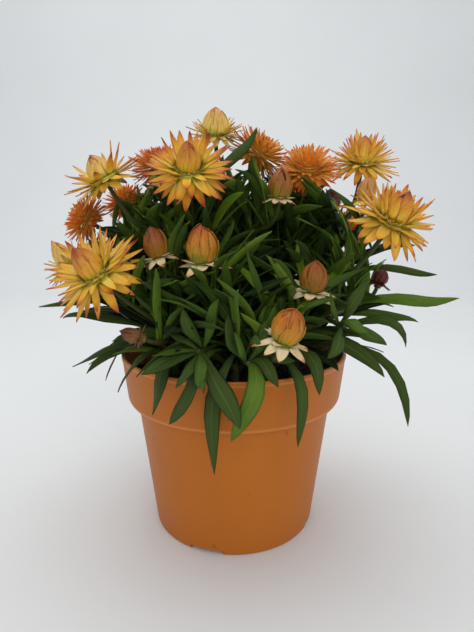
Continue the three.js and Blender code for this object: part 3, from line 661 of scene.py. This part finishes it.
def stem_material():
    finish = Finish("green stem", Specular_IOR_Level=0.35)
    spot = finish.place((1, 1, 0.25))
    fine = finish.noise(spot, 700.0, 4.0)
    color = finish.mix(fine, (40, 56, 20), (82, 96, 42))
    color = finish.mix(finish.noise(finish.place(), 45.0) - 0.35, color, (84, 56, 34))
    return finish.paint(color, 0.55 + fine * 0.2, fine, 0.0002)


def leaf_material():
    """Soft matte leaf: a pale midrib, fine veins along it, a paler underside, bright or dark.
    How bright comes from each leaf's tone, which also holds painted light and painted shade.
    """
    finish = Finish("strawflower leaf", Specular_IOR_Level=0.12, Sheen_Weight=0.01,
                    Sheen_Roughness=0.5)
    along, across, above, tone = finish.reads("along", "across", "above", "tone")
    spot = finish.place()
    veins = finish.noise(vector(finish.tree, across * 9.0, along * 2.2, tone * 40.0), 1.6, 4.0)
    patch = finish.noise(spot, 90.0, 4.0)
    # The tone carries each leaf's own brightness together with painted light and painted shade
    pick = tone + (patch - 0.5) * 0.5 + (veins - 0.5) * 0.25 - along * 0.12
    color = finish.ramp(pick, (0.0, (15, 25, 9)), (1.0, (112, 142, 30)),
                        (0.25, (25, 43, 11)), (0.6, (58, 88, 15)))
    rib = held(1.0 - abs(across) * 7.0) * (1.0 - along * 0.7)
    color = finish.mix(rib * 0.45, color, (140, 162, 70))
    edge = held((abs(across) - 0.86) * 6.0)
    color = finish.mix(edge * 0.18, color, (120, 140, 50))
    under = held(above * -3.0)
    color = finish.mix(under * 0.4, color, (96, 122, 52))
    withered = finish.mix(patch, (70, 44, 26), (150, 116, 78))
    color = finish.mix((tone - 1.2) * 5.0, color, withered)
    height = veins * 0.8 + patch * 0.4 - rib * 0.8
    return finish.paint(color, 0.38 + veins * 0.26, height, 0.0005)


# Each paper's colours from the foot of a bract to its tip, where its low and high colours lie,
# the colour of its fine streaks and how strong they are
PAPERS = {
    "golden ray": ((196, 188, 54), (255, 230, 104), (252, 190, 56), (176, 46, 24),
        (0.12, 0.7), (238, 160, 40), 0.35),
    "honey ray": ((226, 202, 64), (255, 232, 108), (255, 194, 66), (200, 80, 34),
        (0.12, 0.74), (242, 158, 44), 0.4),
    "deep ray": ((200, 190, 50), (255, 230, 92), (252, 182, 46), (156, 30, 18),
        (0.12, 0.6), (226, 110, 30), 0.4),
    "pale ray": ((214, 206, 84), (254, 236, 140), (250, 208, 96), (172, 60, 32),
        (0.12, 0.78), (230, 170, 66), 0.35),
    "amber ray": ((250, 216, 100), (255, 216, 100), (252, 176, 62), (206, 84, 36),
        (0.2, 0.74), (232, 136, 42), 0.4),
    "orange ray": ((250, 208, 90), (255, 204, 86), (255, 164, 60), (226, 88, 38),
        (0.2, 0.74), (238, 122, 40), 0.4),
    "cream ray": ((200, 204, 120), (253, 243, 204), (244, 214, 156), (164, 82, 46),
        (0.16, 0.76), (222, 172, 114), 0.5),
    "green collar": ((120, 136, 44), (168, 176, 70), (216, 208, 110), (236, 214, 140),
        (0.3, 0.7), (150, 150, 60), 0.5),
    "amber cone": ((212, 200, 70), (244, 190, 64), (224, 142, 42), (150, 56, 24),
        (0.2, 0.76), (178, 82, 28), 0.6),
    "tan cone": ((206, 206, 88), (248, 216, 112), (234, 184, 82), (174, 88, 42),
        (0.18, 0.76), (188, 118, 54), 0.6),
    "russet bud": ((146, 146, 40), (200, 148, 38), (206, 122, 18), (164, 76, 10),
        (0.15, 0.66), (132, 52, 10), 0.85),
    # Painted shade: the russet bud's colours darkened, for buds that sit in shade
    "dusky bud": ((118, 112, 30), (162, 114, 22), (160, 88, 10), (128, 54, 6),
        (0.15, 0.66), (96, 38, 8), 0.85),
    "salmon bud": ((146, 136, 44), (172, 118, 36), (160, 90, 26), (132, 54, 16),
        (0.15, 0.72), (106, 48, 18), 0.85),
    "blush bud": ((210, 192, 94), (224, 178, 94), (206, 138, 70), (160, 76, 44),
        (0.15, 0.72), (176, 104, 60), 0.7),
    "withered bud": ((136, 112, 56), (158, 112, 66), (138, 84, 48), (96, 54, 32),
        (0.2, 0.7), (108, 66, 40), 0.8),
    "crimson bud": ((112, 60, 44), (118, 44, 42), (102, 34, 38), (82, 24, 30),
        (0.3, 0.8), (74, 22, 28), 0.7),
}


def paper_material(name):
    """Dry satin paper, streaked along each bract, from a pale foot to a burnt tip."""
    foot, low, high, tip, (low_place, high_place), streak, strong = PAPERS[name]
    finish = Finish(name, Specular_IOR_Level=0.4, Sheen_Weight=0.01, Sheen_Roughness=0.35,
                    Subsurface_Weight=0.04, Subsurface_Radius=(0.003, 0.0016, 0.0006),
                    Subsurface_Scale=0.4)
    along, across, above, shade = finish.reads("along", "across", "above", "shade")
    stretched = vector(finish.tree, across * 2.6, along * 0.8, shade * 30.0)
    lines = finish.noise(stretched, 1.7, 4.0, 0.65)
    spread = along + (shade - 0.5) * 0.3 + (lines - 0.5) * 0.24
    color = finish.ramp(spread, (0.02, foot), (1.0, tip), (low_place, low), (high_place, high))
    color = finish.mix(held((lines - 0.48) * 4.5, 0.0, strong) * (0.3 + along), color, streak)
    rim = held((abs(across) - 0.7) * 3.0) * along
    under = held(above * -3.0)
    color = finish.mix(rim * 0.2 + under * along * 0.35, color, tip)
    return finish.paint(color, 0.26 + lines * 0.22, lines, 0.0005)


# Shapes turned on a lathe
def polar(radius, turn):
    return radius * cos(turn), radius * sin(turn)


def turned_mesh(name, profile, sides, height_of=None):
    """A closed turned form from (radius, height) pairs in millimetres, both ends on the axis."""
    mesh = bmesh.new()
    rows = []
    for radius, height in profile:
        count = 1 if radius == 0 else sides
        row = []
        for j in range(count):
            x, y = polar(radius, 2 * pi * j / sides)
            z = height_of(x, y, height) if height_of else height
            row.append(mesh.verts.new((x * MM, y * MM, z * MM)))
        rows.append(row)
    for lower, upper in zip(rows, rows[1:]):
        for j in range(sides):
            k = (j + 1) % sides
            ring = [lower[j % len(lower)], lower[k % len(lower)],
                    upper[k % len(upper)], upper[j % len(upper)]]
            mesh.faces.new(list(dict.fromkeys(ring)))
    bmesh.ops.recalc_face_normals(mesh, faces=mesh.faces)
    made = bpy.data.meshes.new(name)
    mesh.to_mesh(made)
    mesh.free()
    made.shade_smooth()
    return made


def rounded(corners, steps=5):
    """A profile whose corners (radius, height, fillet) are eased by short curves."""
    profile = []
    for i, (radius, height, fillet) in enumerate(corners):
        corner = Vector((radius, height))
        if not fillet:
            profile.append(tuple(corner))
            continue
        sides = [Vector(corners[j][:2]) - corner for j in (i - 1, i + 1)]
        start, end = (corner + side.normalized() * min(fillet, side.length / 2) for side in sides)
        for step in range(steps + 1):
            t = step / steps
            point = start * (1 - t) ** 2 + corner * 2 * t * (1 - t) + end * t * t
            profile.append(tuple(point))
    return profile


def block(name, outline, low, high):
    """An upright closed block over a flat outline, in millimetres."""
    count = len(outline)
    corners = [(x * MM, y * MM, z * MM) for z in (low, high) for x, y in outline]
    faces = [tuple(range(count))[::-1], tuple(range(count, 2 * count))]
    faces += [(i, (i + 1) % count, (i + 1) % count + count, i + count) for i in range(count)]
    return plain_mesh(name, corners, [], faces)


def ring_piece(inner, outer, half, angle):
    turns = [radians(angle + half * (i / 4 - 1)) for i in range(9)]
    return [polar(outer, a) for a in turns] + [polar(inner, a) for a in reversed(turns)]


def make_pot():
    wall, plate, lip, proud = POT["wall"], POT["plate"], POT["lip"], POT["proud"]
    shelf_out, shelf_up = POT["shelf"]
    pot = put_in_scene("nursery_pot", turned_mesh("nursery_pot", rounded([
        (0, 0, 0),
        (BASE_RADIUS, 0, 1.4),
        (BODY_TOP[0], BODY_TOP[1], 0.9),
        (BODY_TOP[0] + shelf_out, BODY_TOP[1] + shelf_up, 0.9),
        (COLLAR_LOW[0], COLLAR_LOW[1], 1.6),
        (RIM[0] - proud, RIM[1] - lip - proud, 0.3),
        (RIM[0], RIM[1] - lip, 0.25),
        (RIM[0], RIM[1], 0.6),
        (RIM[0] - POT["rim"], RIM[1], 0.6),
        (COLLAR_LOW[0] - wall, COLLAR_LOW[1] + POT["under_collar"], 1.0),
        (BODY_TOP[0] - wall, BODY_TOP[1] + POT["over_body"], 1.0),
        (BASE_RADIUS - wall, plate, 1.0),
        (0, plate, 0),
    ]), POT["sides"]))
    pot.data.materials.append(pot_material())
    half, inner, cheek = RECESS["half"], RECESS["inner"], RECESS["cheek"]
    roof = RECESS["height"] + plate
    cutters = []
    for i in range(RECESS["count"]):
        angle = RECESS["first"] + i * 360 / RECESS["count"]
        box = ring_piece(inner - cheek, BASE_RADIUS - wall / 2, half + cheek, angle)
        slot = ring_piece(inner, BASE_RADIUS + PAST, half, angle)
        x, y = polar(RECESS["hole_at"], radians(angle))
        edge = [polar(RECESS["hole"], 2 * pi * j / HOLE_SIDES) for j in range(HOLE_SIDES)]
        hole = [(x + across, y + along) for across, along in edge]
        for operation, outline, low, high in (
                ("UNION", box, plate / 4, roof),
                ("DIFFERENCE", slot, -PAST, RECESS["height"]),
                ("DIFFERENCE", hole, -PAST, roof + PAST)):
            cutter = put_in_scene("cutter", block("cutter", outline, low, high))
            cutters.append(cutter)
            cut = pot.modifiers.new("cut", "BOOLEAN")
            cut.operation = operation
            cut.object = cutter
            cut.solver = "EXACT"
    pot = settled(pot, "nursery_pot")
    for cutter in cutters:
        bpy.data.objects.remove(cutter)
    pot.data.shade_smooth()
    pot.data.set_sharp_from_angle(angle=radians(SHARP))
    hand_over(pot, "pot_plastic", "pot")


def soil_height(x, y):
    return (SOIL_LEVEL + SOIL_LUMP * sin(0.21 * x + 0.6) * cos(0.17 * y)
            + 0.5 * SOIL_LUMP * sin(0.43 * y - 0.35 * x + 1.2))


def make_soil(crumbs):
    radius, rings = SOIL_TOP["radius"], SOIL_TOP["rings"]
    top = [(radius - radius * i / rings, SOIL_LEVEL) for i in range(rings)]

    def lumpy(x, y, height):
        if height < SOIL_LEVEL - 0.1:
            return height
        grain = SOIL_TOP["grain"] * sin(0.9 * x + 1.3) * sin(0.8 * y + 0.4)
        return soil_height(x, y) + grain

    profile = [*SOIL_SIDE, *top, (0, SOIL_LEVEL)]
    mound = turned_mesh("potting_soil", profile, SOIL_TOP["sides"], lumpy)
    mound = put_in_scene("potting_soil", mound)
    peat = peat_material()
    mound.data.materials.append(peat)
    for count, size, stretch, seed in CRUMBS:
        crumbs.put_on(mound, per_square_metre=count, size=size, stretch=stretch, seed=seed,
                      material=peat)
    hand_over(settled(mound, "potting_soil"), "soil", "soil")


# Growing rule of the leafy stems
def seeded_draw(seed):
    state = [seed % DRAW_RANGE]

    def draw():
        state[0] = (state[0] * DRAW_FACTOR + DRAW_STEP) % DRAW_RANGE
        return state[0] / DRAW_RANGE
    draw()
    draw()
    return draw


def compass(side, rise=0.0):
    side, rise = radians(side), radians(rise)
    return Vector((*polar(cos(rise), side), sin(rise)))


def between(low, high, share):
    return low + (high - low) * share


class Shoot:
    """A cubic curve from a start to the seat under a head."""

    def __init__(self, start, aim, seat, axis, radius):
        pull = STEM["pull"] * (seat - start).length
        self.points = (start, start + aim * pull, seat - axis * pull, seat)
        self.radius = radius

    def at(self, t):
        a, b, c, d = self.points
        s = 1 - t
        return a * s ** 3 + b * 3 * s * s * t + c * 3 * s * t * t + d * t ** 3

    def way(self, t):
        a, b, c, d = self.points
        s = 1 - t
        return ((b - a) * s * s + (c - b) * 2 * s * t + (d - c) * t * t).normalized()

    def length(self):
        spots = [self.at(i / 200) for i in range(201)]
        return sum((after - before).length for before, after in zip(spots, spots[1:]))

    def thick(self, t):
        return between(self.radius, STEM["neck"], t)


def head_place(name):
    _, at, tilt, side, *_ = HEADS[name]
    axis = compass(side, 90 - tilt)
    return Vector(at), axis, Vector(at) - axis * (NECK_DEPTH + SEAT)


def shoots_of(stem):
    (x, y), heads = LEAFY_STEMS[stem - 1]
    shoots = []
    for head, share in heads.items():
        _, axis, seat = head_place(head)
        if share:
            start, aim, radius = shoots[0].at(share), shoots[0].way(share), STEM["twig"]
        else:
            start, aim, radius = Vector((x, y, SOIL_LEVEL + STEM["collar"])), UP, STEM["trunk"]
        shoots.append(Shoot(start, aim, seat, axis, radius))
    return shoots


def skin_point(shoot, share, direction):
    way = shoot.way(share)
    flat = (direction - way * direction.dot(way)).normalized()
    return shoot.at(share) + flat * (shoot.thick(share) - LEAF["sink"])


def leaf_seats(shoots, stem, pitch=LEAF["pitch"], first_index=0):
    """Where the leaves grow on a stem's shoots, and how each is meant to lie."""
    seats = []
    least, more = LEAF["size"]
    for order, shoot in enumerate(shoots):
        leafy, start = LEAFY_SHARES[min(order, 1)]
        length = shoot.length()
        for i in range(floor(length * leafy / pitch)):
            index = len(seats) + 1 + first_index
            draw = seeded_draw(stem * STEM_SEED + index * LEAF_SEED)
            share = start + i * pitch / length
            place = shoot.at(share)
            outward = degrees(atan2(place.y, place.x))
            around = (((index + 3 * (stem - 1)) * GOLDEN_ANGLE + 180) % 360) - 180
            seats.append({
                "shoot": shoot, "share": share,
                "side": outward + around * LEAF["turn"] + LEAF["spread"] * (draw() - 0.5),
                "rise": between(*LEAF["rise"], share) + LEAF["rise_spread"] * (draw() - 0.5),
                "droop": LEAF["droop"][0] + LEAF["droop"][1] * draw(),
                "length": between(*LEAF["length"], share) * (least + more * draw()),
                "width": between(*LEAF["width"], share) * (least + more * draw()),
                "roll": LEAF["roll"] * (draw() - 0.5),
                "luck": draw(),
            })
    return seats


def leaf_from(seat, attempt):
    """A leaf from its seat. Each further attempt swings it further from its first place."""
    side = seat["side"] + LEAF["swing"] * ceil(attempt / 2) * (-1) ** attempt
    rise = seat["rise"] + LEAF["lifts"][attempt % 3]
    first = compass(side, rise)
    root = skin_point(seat["shoot"], seat["share"], first)
    bend = root + first * seat["length"] / 2
    tip = bend + compass(side, rise - seat["droop"]) * seat["length"] / 2
    across = Quaternion(first, radians(seat["roll"])) @ compass(side + 90)
    # Painted light: leaves higher up a shoot are painted paler, lower ones darker, with a random
    # spread on top
    tone = between(*LEAF["tone"], seat["share"])
    tone += LEAF["tone_spread"] * ((seat["luck"] * 7.7) % 1 - 0.3)
    tone = min(tone + seat.get("paler", 0), LEAF["palest"])
    return {"root": root, "bend": bend, "tip": tip, "side": across, "width": seat["width"],
            "luck": seat["luck"], "tone": tone, "twist": 1.3, "hang": 0.0,
            "sway": 0.3 * seat["width"]}


def single_leaf(shoot, share, bend, tip, width, tone):
    bend, tip = Vector(bend), Vector(tip)
    root = skin_point(shoot, share, (bend - shoot.at(share)).normalized())
    side = (tip - root).cross(Vector(SINGLE["face"])).normalized()
    start, reach = SINGLE["hang"]
    hang = min(max((bend.z - tip.z - start) / reach, 0), 1)
    length = (bend - root).length + (tip - bend).length
    luck = 0.55 + (share * 7.3 + width * 0.37) % 0.45
    # Painted shade: these low single and rosette leaves are painted darker
    return {"root": root, "bend": bend, "tip": tip, "side": side, "width": width, "luck": luck,
            "tone": tone - SINGLE["darker"], "twist": SINGLE["twist"], "hang": hang,
            "sway": SINGLE["sway"] * length}


def rosettes_of(stem, trunk):
    """The short shoots of a stem's rosettes, and the leaves that spread from their ends."""
    shoots, leaves = [], []
    for place, share, middle, rows in ROSETTES:
        if place == stem:
            start, middle = trunk.at(share), Vector(middle)
            outward = (middle - start).normalized()
            shoot = Shoot(start, trunk.way(share), middle, outward, STEM["twig"])
            shoots.append(shoot)
            leaves += [single_leaf(shoot, 0.88 + 0.015 * i, *row) for i, row in enumerate(rows)]
    return shoots, leaves


def spine_point(leaf, t):
    return leaf["root"] * (1 - t) ** 2 + leaf["bend"] * 2 * t * (1 - t) + leaf["tip"] * t * t


def fits_in(leaf, open_faces):
    """Whether an added leaf stays over the rim, inside the plant's dome and off every head."""
    tip = leaf["tip"]
    high = (tip.z - DOME["middle"]) / DOME["z"]
    if (tip.x / DOME["x"]) ** 2 + (tip.y / DOME["y"]) ** 2 + high ** 2 > 1:
        return False
    for t in (0.25, 0.4, 0.55, 0.7, 0.85, 1):
        spot = spine_point(leaf, t)
        flat = hypot(spot.x, spot.y)
        if spot.z < SOIL_LEVEL + OVER or (flat > INSIDE_RIM and spot.z < RIM[1] + OVER):
            return False
        for middle, outward, radius, inner in open_faces:
            apart = spot - middle
            before = apart.dot(outward)
            if apart.length < inner or (before > -3 and (apart - outward * before).length < radius):
                return False
    return True


def heads_open_faces():
    """What leaves keep clear of: each head's middle, open side, spread, and a ball round it."""
    faces = []
    for name, (kind, at, _, _, (radius, height, _), reach, *_) in HEADS.items():
        middle, axis, _ = head_place(name)
        outward = Vector((0, 1 if at[1] > BACK_HALF else -1, 0.2)).normalized()
        wide = radius + reach * (0.5 if kind == "bud" else 0.8)
        faces.append((middle + axis * height * 0.4, outward, wide, radius + 0.6 * reach))
    return faces


def grown_leaves(stem, shoots, open_faces):
    """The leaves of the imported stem, found by their tips, and smaller ones added among them."""
    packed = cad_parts[f"leafy_stem_{stem}"].data.vertices
    finder = KDTree(len(packed))
    for i, vertex in enumerate(packed):
        finder.insert(vertex.co / MM, i)
    finder.balance()

    def was_kept(leaf):
        return finder.find(leaf["tip"])[2] < FOUND

    def placed(rows):
        return [single_leaf(shoots[0], *row) for place, *row in rows if place == stem]

    def first_of(seat, tries, fits):
        leaves = (leaf_from(seat, attempt) for attempt in range(tries))
        return [leaf for leaf in leaves if fits(leaf)][:1]

    leaves = [leaf for leaf in placed(SINGLE_LEAVES) if was_kept(leaf)]
    for seat in leaf_seats(shoots, stem):
        leaves += first_of(seat, LEAF["tries"], was_kept)
    leaves += placed(WITHERED_LEAVES)
    for pitch, first_index, lowest, length, width, roll, steeper, paler, tries in ADDED_LEAVES:
        for seat in leaf_seats(shoots, stem, pitch, first_index):
            if seat["share"] > lowest:
                seat["length"] *= length
                seat["width"] *= width
                seat["roll"] *= roll
                seat["rise"] += steeper
                seat["paler"] = paler
                leaves += first_of(seat, tries, lambda leaf: fits_in(leaf, open_faces))
    return leaves


def give_values(mesh, label, values, kind="FLOAT", key="value"):
    mesh.attributes.new(label, kind, "POINT").data.foreach_set(key, values)


def make_leafy_stem(stem, maker, open_faces, leaf_paint, stem_paint):
    """One point for every leaf, and a line of points along every shoot, for the stems' tree."""
    shoots = shoots_of(stem)
    leaves = grown_leaves(stem, shoots, open_faces)
    more_shoots, more_leaves = rosettes_of(stem, shoots[0])
    shoots += more_shoots
    leaves += more_leaves
    steps = STEM["steps"]
    spots = [leaf["root"] for leaf in leaves]
    edges, thick = [], [0.0] * len(leaves)
    for order, shoot in enumerate(shoots):
        line = [shoot.at(i / steps) for i in range(steps + 1)]
        sizes = [shoot.thick(i / steps) for i in range(steps + 1)]
        if order == 0:
            line.insert(0, line[0] - UP * STEM["rooted"])
            sizes.insert(0, STEM["trunk"])
        first = len(spots)
        spots += line
        thick += sizes
        edges += [(i, i + 1) for i in range(first, len(spots) - 1)]
    name = f"leafy_stem_{stem}"
    mesh = plain_mesh(name, [spot * MM for spot in spots], edges, [])
    blank = {"side": UP, **dict.fromkeys(("root", "bend", "tip"), Vector()),
             **dict.fromkeys(LEAF_VALUES, 0.0)}
    rows = leaves + [blank] * (len(spots) - len(leaves))
    for label, scale in LEAF_VECTORS.items():
        numbers = [number * scale for row in rows for number in row[label]]
        give_values(mesh, label, numbers, "FLOAT_VECTOR", "vector")
    for label, scale in LEAF_VALUES.items():
        give_values(mesh, label, [row[label] * scale for row in rows])
    give_values(mesh, "thick", [radius * MM for radius in thick])
    foliage = put_in_scene(name + "_foliage", mesh)
    maker.put_on(foliage, stem_material=stem_paint, leaf_material=leaf_paint)
    hand_over(settled(foliage, name + "_foliage"), "foliage", name)


# Heads: rows of bracts round a turned core. Each row is bracts, arc, share of the base's radius,
# height, rise, rise spread, curl, share of the reach, width, cup and shade.
RAY_ROWS = {
    "young_bloom": (
        (14, 360, 0.86, -1.9, -38, 10, 14, 1.02, 5.4, 0.2, 0.7),
        (14, 360, 0.9, -1.0, -20, 10, 14, 1.08, 5.3, 0.24, 0.5),
        (14, 360, 0.86, 0.0, 0, 11, 12, 1.08, 4.8, 0.34, 0.4),
        (12, 330, 0.82, 0.9, 20, 12, 10, 1.06, 4.4, 0.4, 0.35),
        (8, 250, 0.78, 1.6, 40, 12, 8, 1.0, 3.9, 0.44, 0.4),
        (5, 200, 0.76, 2.2, 60, 8, 6, 0.96, 3.7, 0.46, 0.55),
    ),
    "opening": (
        (12, 360, 0.86, -1.6, -34, 10, 12, 0.95, 5.4, 0.2, 0.6),
        (13, 360, 0.9, -0.8, -12, 12, 12, 1.08, 5.2, 0.24, 0.45),
        (11, 360, 0.86, 0.2, 10, 12, 10, 1.1, 4.6, 0.34, 0.35),
        (8, 300, 0.82, 1.0, 32, 12, 8, 1.05, 4.0, 0.4, 0.3),
        (4, 200, 0.78, 1.8, 56, 8, 6, 0.95, 3.2, 0.44, 0.4),
    ),
    "full_bloom": (
        (18, 360, 0.7, -2.4, -48, 8, 14, 1.06, 3.6, 0.2, 1.0),
        (20, 360, 0.9, -1.6, -30, 8, 14, 1.18, 3.5, 0.25, 0.85),
        (23, 360, 1.0, -0.5, -13, 9, 14, 1.22, 3.3, 0.3, 0.6),
        (25, 360, 1.02, 0.7, 3, 9, 14, 1.22, 3.2, 0.35, 0.45),
        (24, 360, 0.98, 1.9, 18, 9, 14, 1.12, 3.0, 0.35, 0.4),
        (22, 360, 0.88, 3.0, 32, 9, 12, 1.02, 2.8, 0.35, 0.35),
        (19, 360, 0.74, 3.9, 46, 9, 10, 0.9, 2.6, 0.35, 0.3),
        (14, 360, 0.56, 4.6, 60, 9, 8, 0.78, 2.3, 0.35, 0.3),
        (9, 360, 0.34, 5.0, 74, 8, 6, 0.64, 2.1, 0.35, 0.3),
        (4, 360, 0.12, 5.2, 84, 4, 4, 0.58, 1.8, 0.35, 0.3),
    ),
    "bud": (
        (8, 360, 0.74, -1.8, -20, 12, 8, 1.25, 5.6, 0.2, 0.5),
        (4, 360, 0.84, -1.0, 8, 12, 8, 0.9, 4.6, 0.3, 0.4),
    ),
}
RAY_ROWS["fanned"] = RAY_ROWS["young_bloom"] + (
    (9, 360, 0.74, 2.0, 62, 7, 10, 1.1, 4.4, 0.4, 0.3),
    (7, 360, 0.66, 2.3, 73, 5, 8, 1.0, 4.2, 0.4, 0.35),
)
OTHER_RAYS = {
    "young_bloom_2": "opening", "young_bloom_3": "opening", "young_bloom_5": "opening",
    "young_bloom_6": "fanned", "young_bloom_7": "fanned", "young_bloom_9": "fanned",
}
# Closed rows that clothe the cone: bracts, how much of the cone's arc they cover, and shade
CONE_ROWS = {
    "young_bloom": ((9, 0.56, 0.35), (9, 0.76, 0.45), (8, 1.0, 0.55)),
    "full_bloom": (),
    "bud": ((8, 0.5, 0.3), (8, 0.74, 0.4), (7, 1.0, 0.55)),
}


def core_profile(kind, radius, cone, height):
    """The solid middle of a head: its neck, and the base and cone that its bracts grow from."""
    _, _, core, _, (share, start, _) = KINDS[kind]
    top = height * 0.95 if kind != "full_bloom" else FULL_CORE_TOP
    wide = radius * core
    profile = [(0, -NECK_DEPTH), (1.7, -NECK_DEPTH), (2.1, -3.2), (wide * 0.6, -2.6),
               (wide, -1.4), (wide, start - 0.4)]
    for i in range(10):
        t = i / 10
        across = share * radius * cone * 0.88 * (1 - t ** 2.4) ** 0.8
        profile.append((across, between(start, top, t)))
    return profile + [(0, top)]


def make_head(name, number, whorl, papers):
    kind, at, _, _, (radius, height, cone), reach, cone_paper, ray_paper = HEADS[name]
    slot, full_size, _, (foot, point), (share, start, first) = KINDS[kind]
    core = turned_mesh(name, core_profile(kind, radius, cone, height), CORE_SIDES)
    head = put_in_scene(name, core)
    head.data.materials.append(papers[cone_paper])
    turn = UP.rotation_difference(head_place(name)[1])
    away = turn.inverted() @ Vector((0, -1 if at[1] > BACK_HALF else 1, 0.4))
    behind = degrees(atan2(away.y, away.x))
    size = (radius / full_size) ** 0.7

    def add_row(step, paper, **values):
        whorl.put_on(head, seed=100 * number + step, material=papers[paper], **values)

    by_row, by_head = RAY_TURNS
    for row, values in enumerate(RAY_ROWS[OTHER_RAYS.get(name, kind)]):
        bracts, arc, ring, ring_height, rise, spread, curl, far, width, cup, shade = values
        add_row(10 * row, ray_paper, bracts=bracts, arc=float(arc),
                turn=behind + (row * by_row + number * by_head) * (arc == 360),
                ring_radius=ring * radius * 0.94 * MM, ring_height=ring_height * size * MM,
                rise=float(rise), rise_spread=float(spread), curl=float(curl),
                reach=reach * far * MM, width=width * size * MM, cup=cup,
                foot_width=foot, point=point, thickness=0.00045, shade=shade)
    if kind == "young_bloom":
        add_row(65, "green collar", bracts=20, ring_radius=(radius * cone + 0.5) * MM,
                ring_height=0.5 * MM, rise=44.0, curl=20.0, reach=2.6 * MM, width=2.6 * MM,
                foot_width=1.0, point=1.5, cup=0.1, thickness=0.0004)
    # The closed bracts follow one arc, from the base to the cone's tip
    run, climb = share * radius * cone * 0.92, height - start
    last = 2 * (180 - degrees(atan2(climb, run))) - first
    curl = last - first
    arc = hypot(run, climb) * radians(curl / 2) / sin(radians(curl / 2))
    by_row, by_head = CONE_TURNS
    for row, (bracts, cover, shade) in enumerate(CONE_ROWS[kind]):
        outer = 0.16 * (len(CONE_ROWS[kind]) - row)
        add_row(70 + 10 * row, cone_paper, bracts=bracts, turn=row * by_row + number * by_head,
                ring_radius=(run + outer - 0.3) * MM, ring_height=(start - 0.3) * MM,
                rise=float(first), rise_spread=1.0, curl=curl * cover, curl_spread=0.0,
                reach=arc * cover * MM, reach_spread=0.06, width=9.6 * run / bracts * MM,
                cup=0.27, overlap=0.06, span=cover, foot_width=1.0, point=3.8,
                thickness=0.0005, sway=0.02, shade=shade)
    head = settled(head, name + "_paper")
    head.data.transform(Matrix.Translation(Vector(at) * MM) @ turn.to_matrix().to_4x4())
    hand_over(head, slot, name)


add_camera()
add_studio()
add_floor()
make_pot()
make_soil(crumbs_on_top())
whorl = whorl_of_bracts()
papers = {name: paper_material(name) for name in PAPERS}
for number, name in enumerate(HEADS):
    make_head(name, number, whorl, papers)
maker = shoots_and_leaves()
open_faces = heads_open_faces()
leaf_paint, stem_paint = leaf_material(), stem_material()
for stem in range(1, len(LEAFY_STEMS) + 1):
    make_leafy_stem(stem, maker, open_faces, leaf_paint, stem_paint)

bpy.context.view_layer.update()
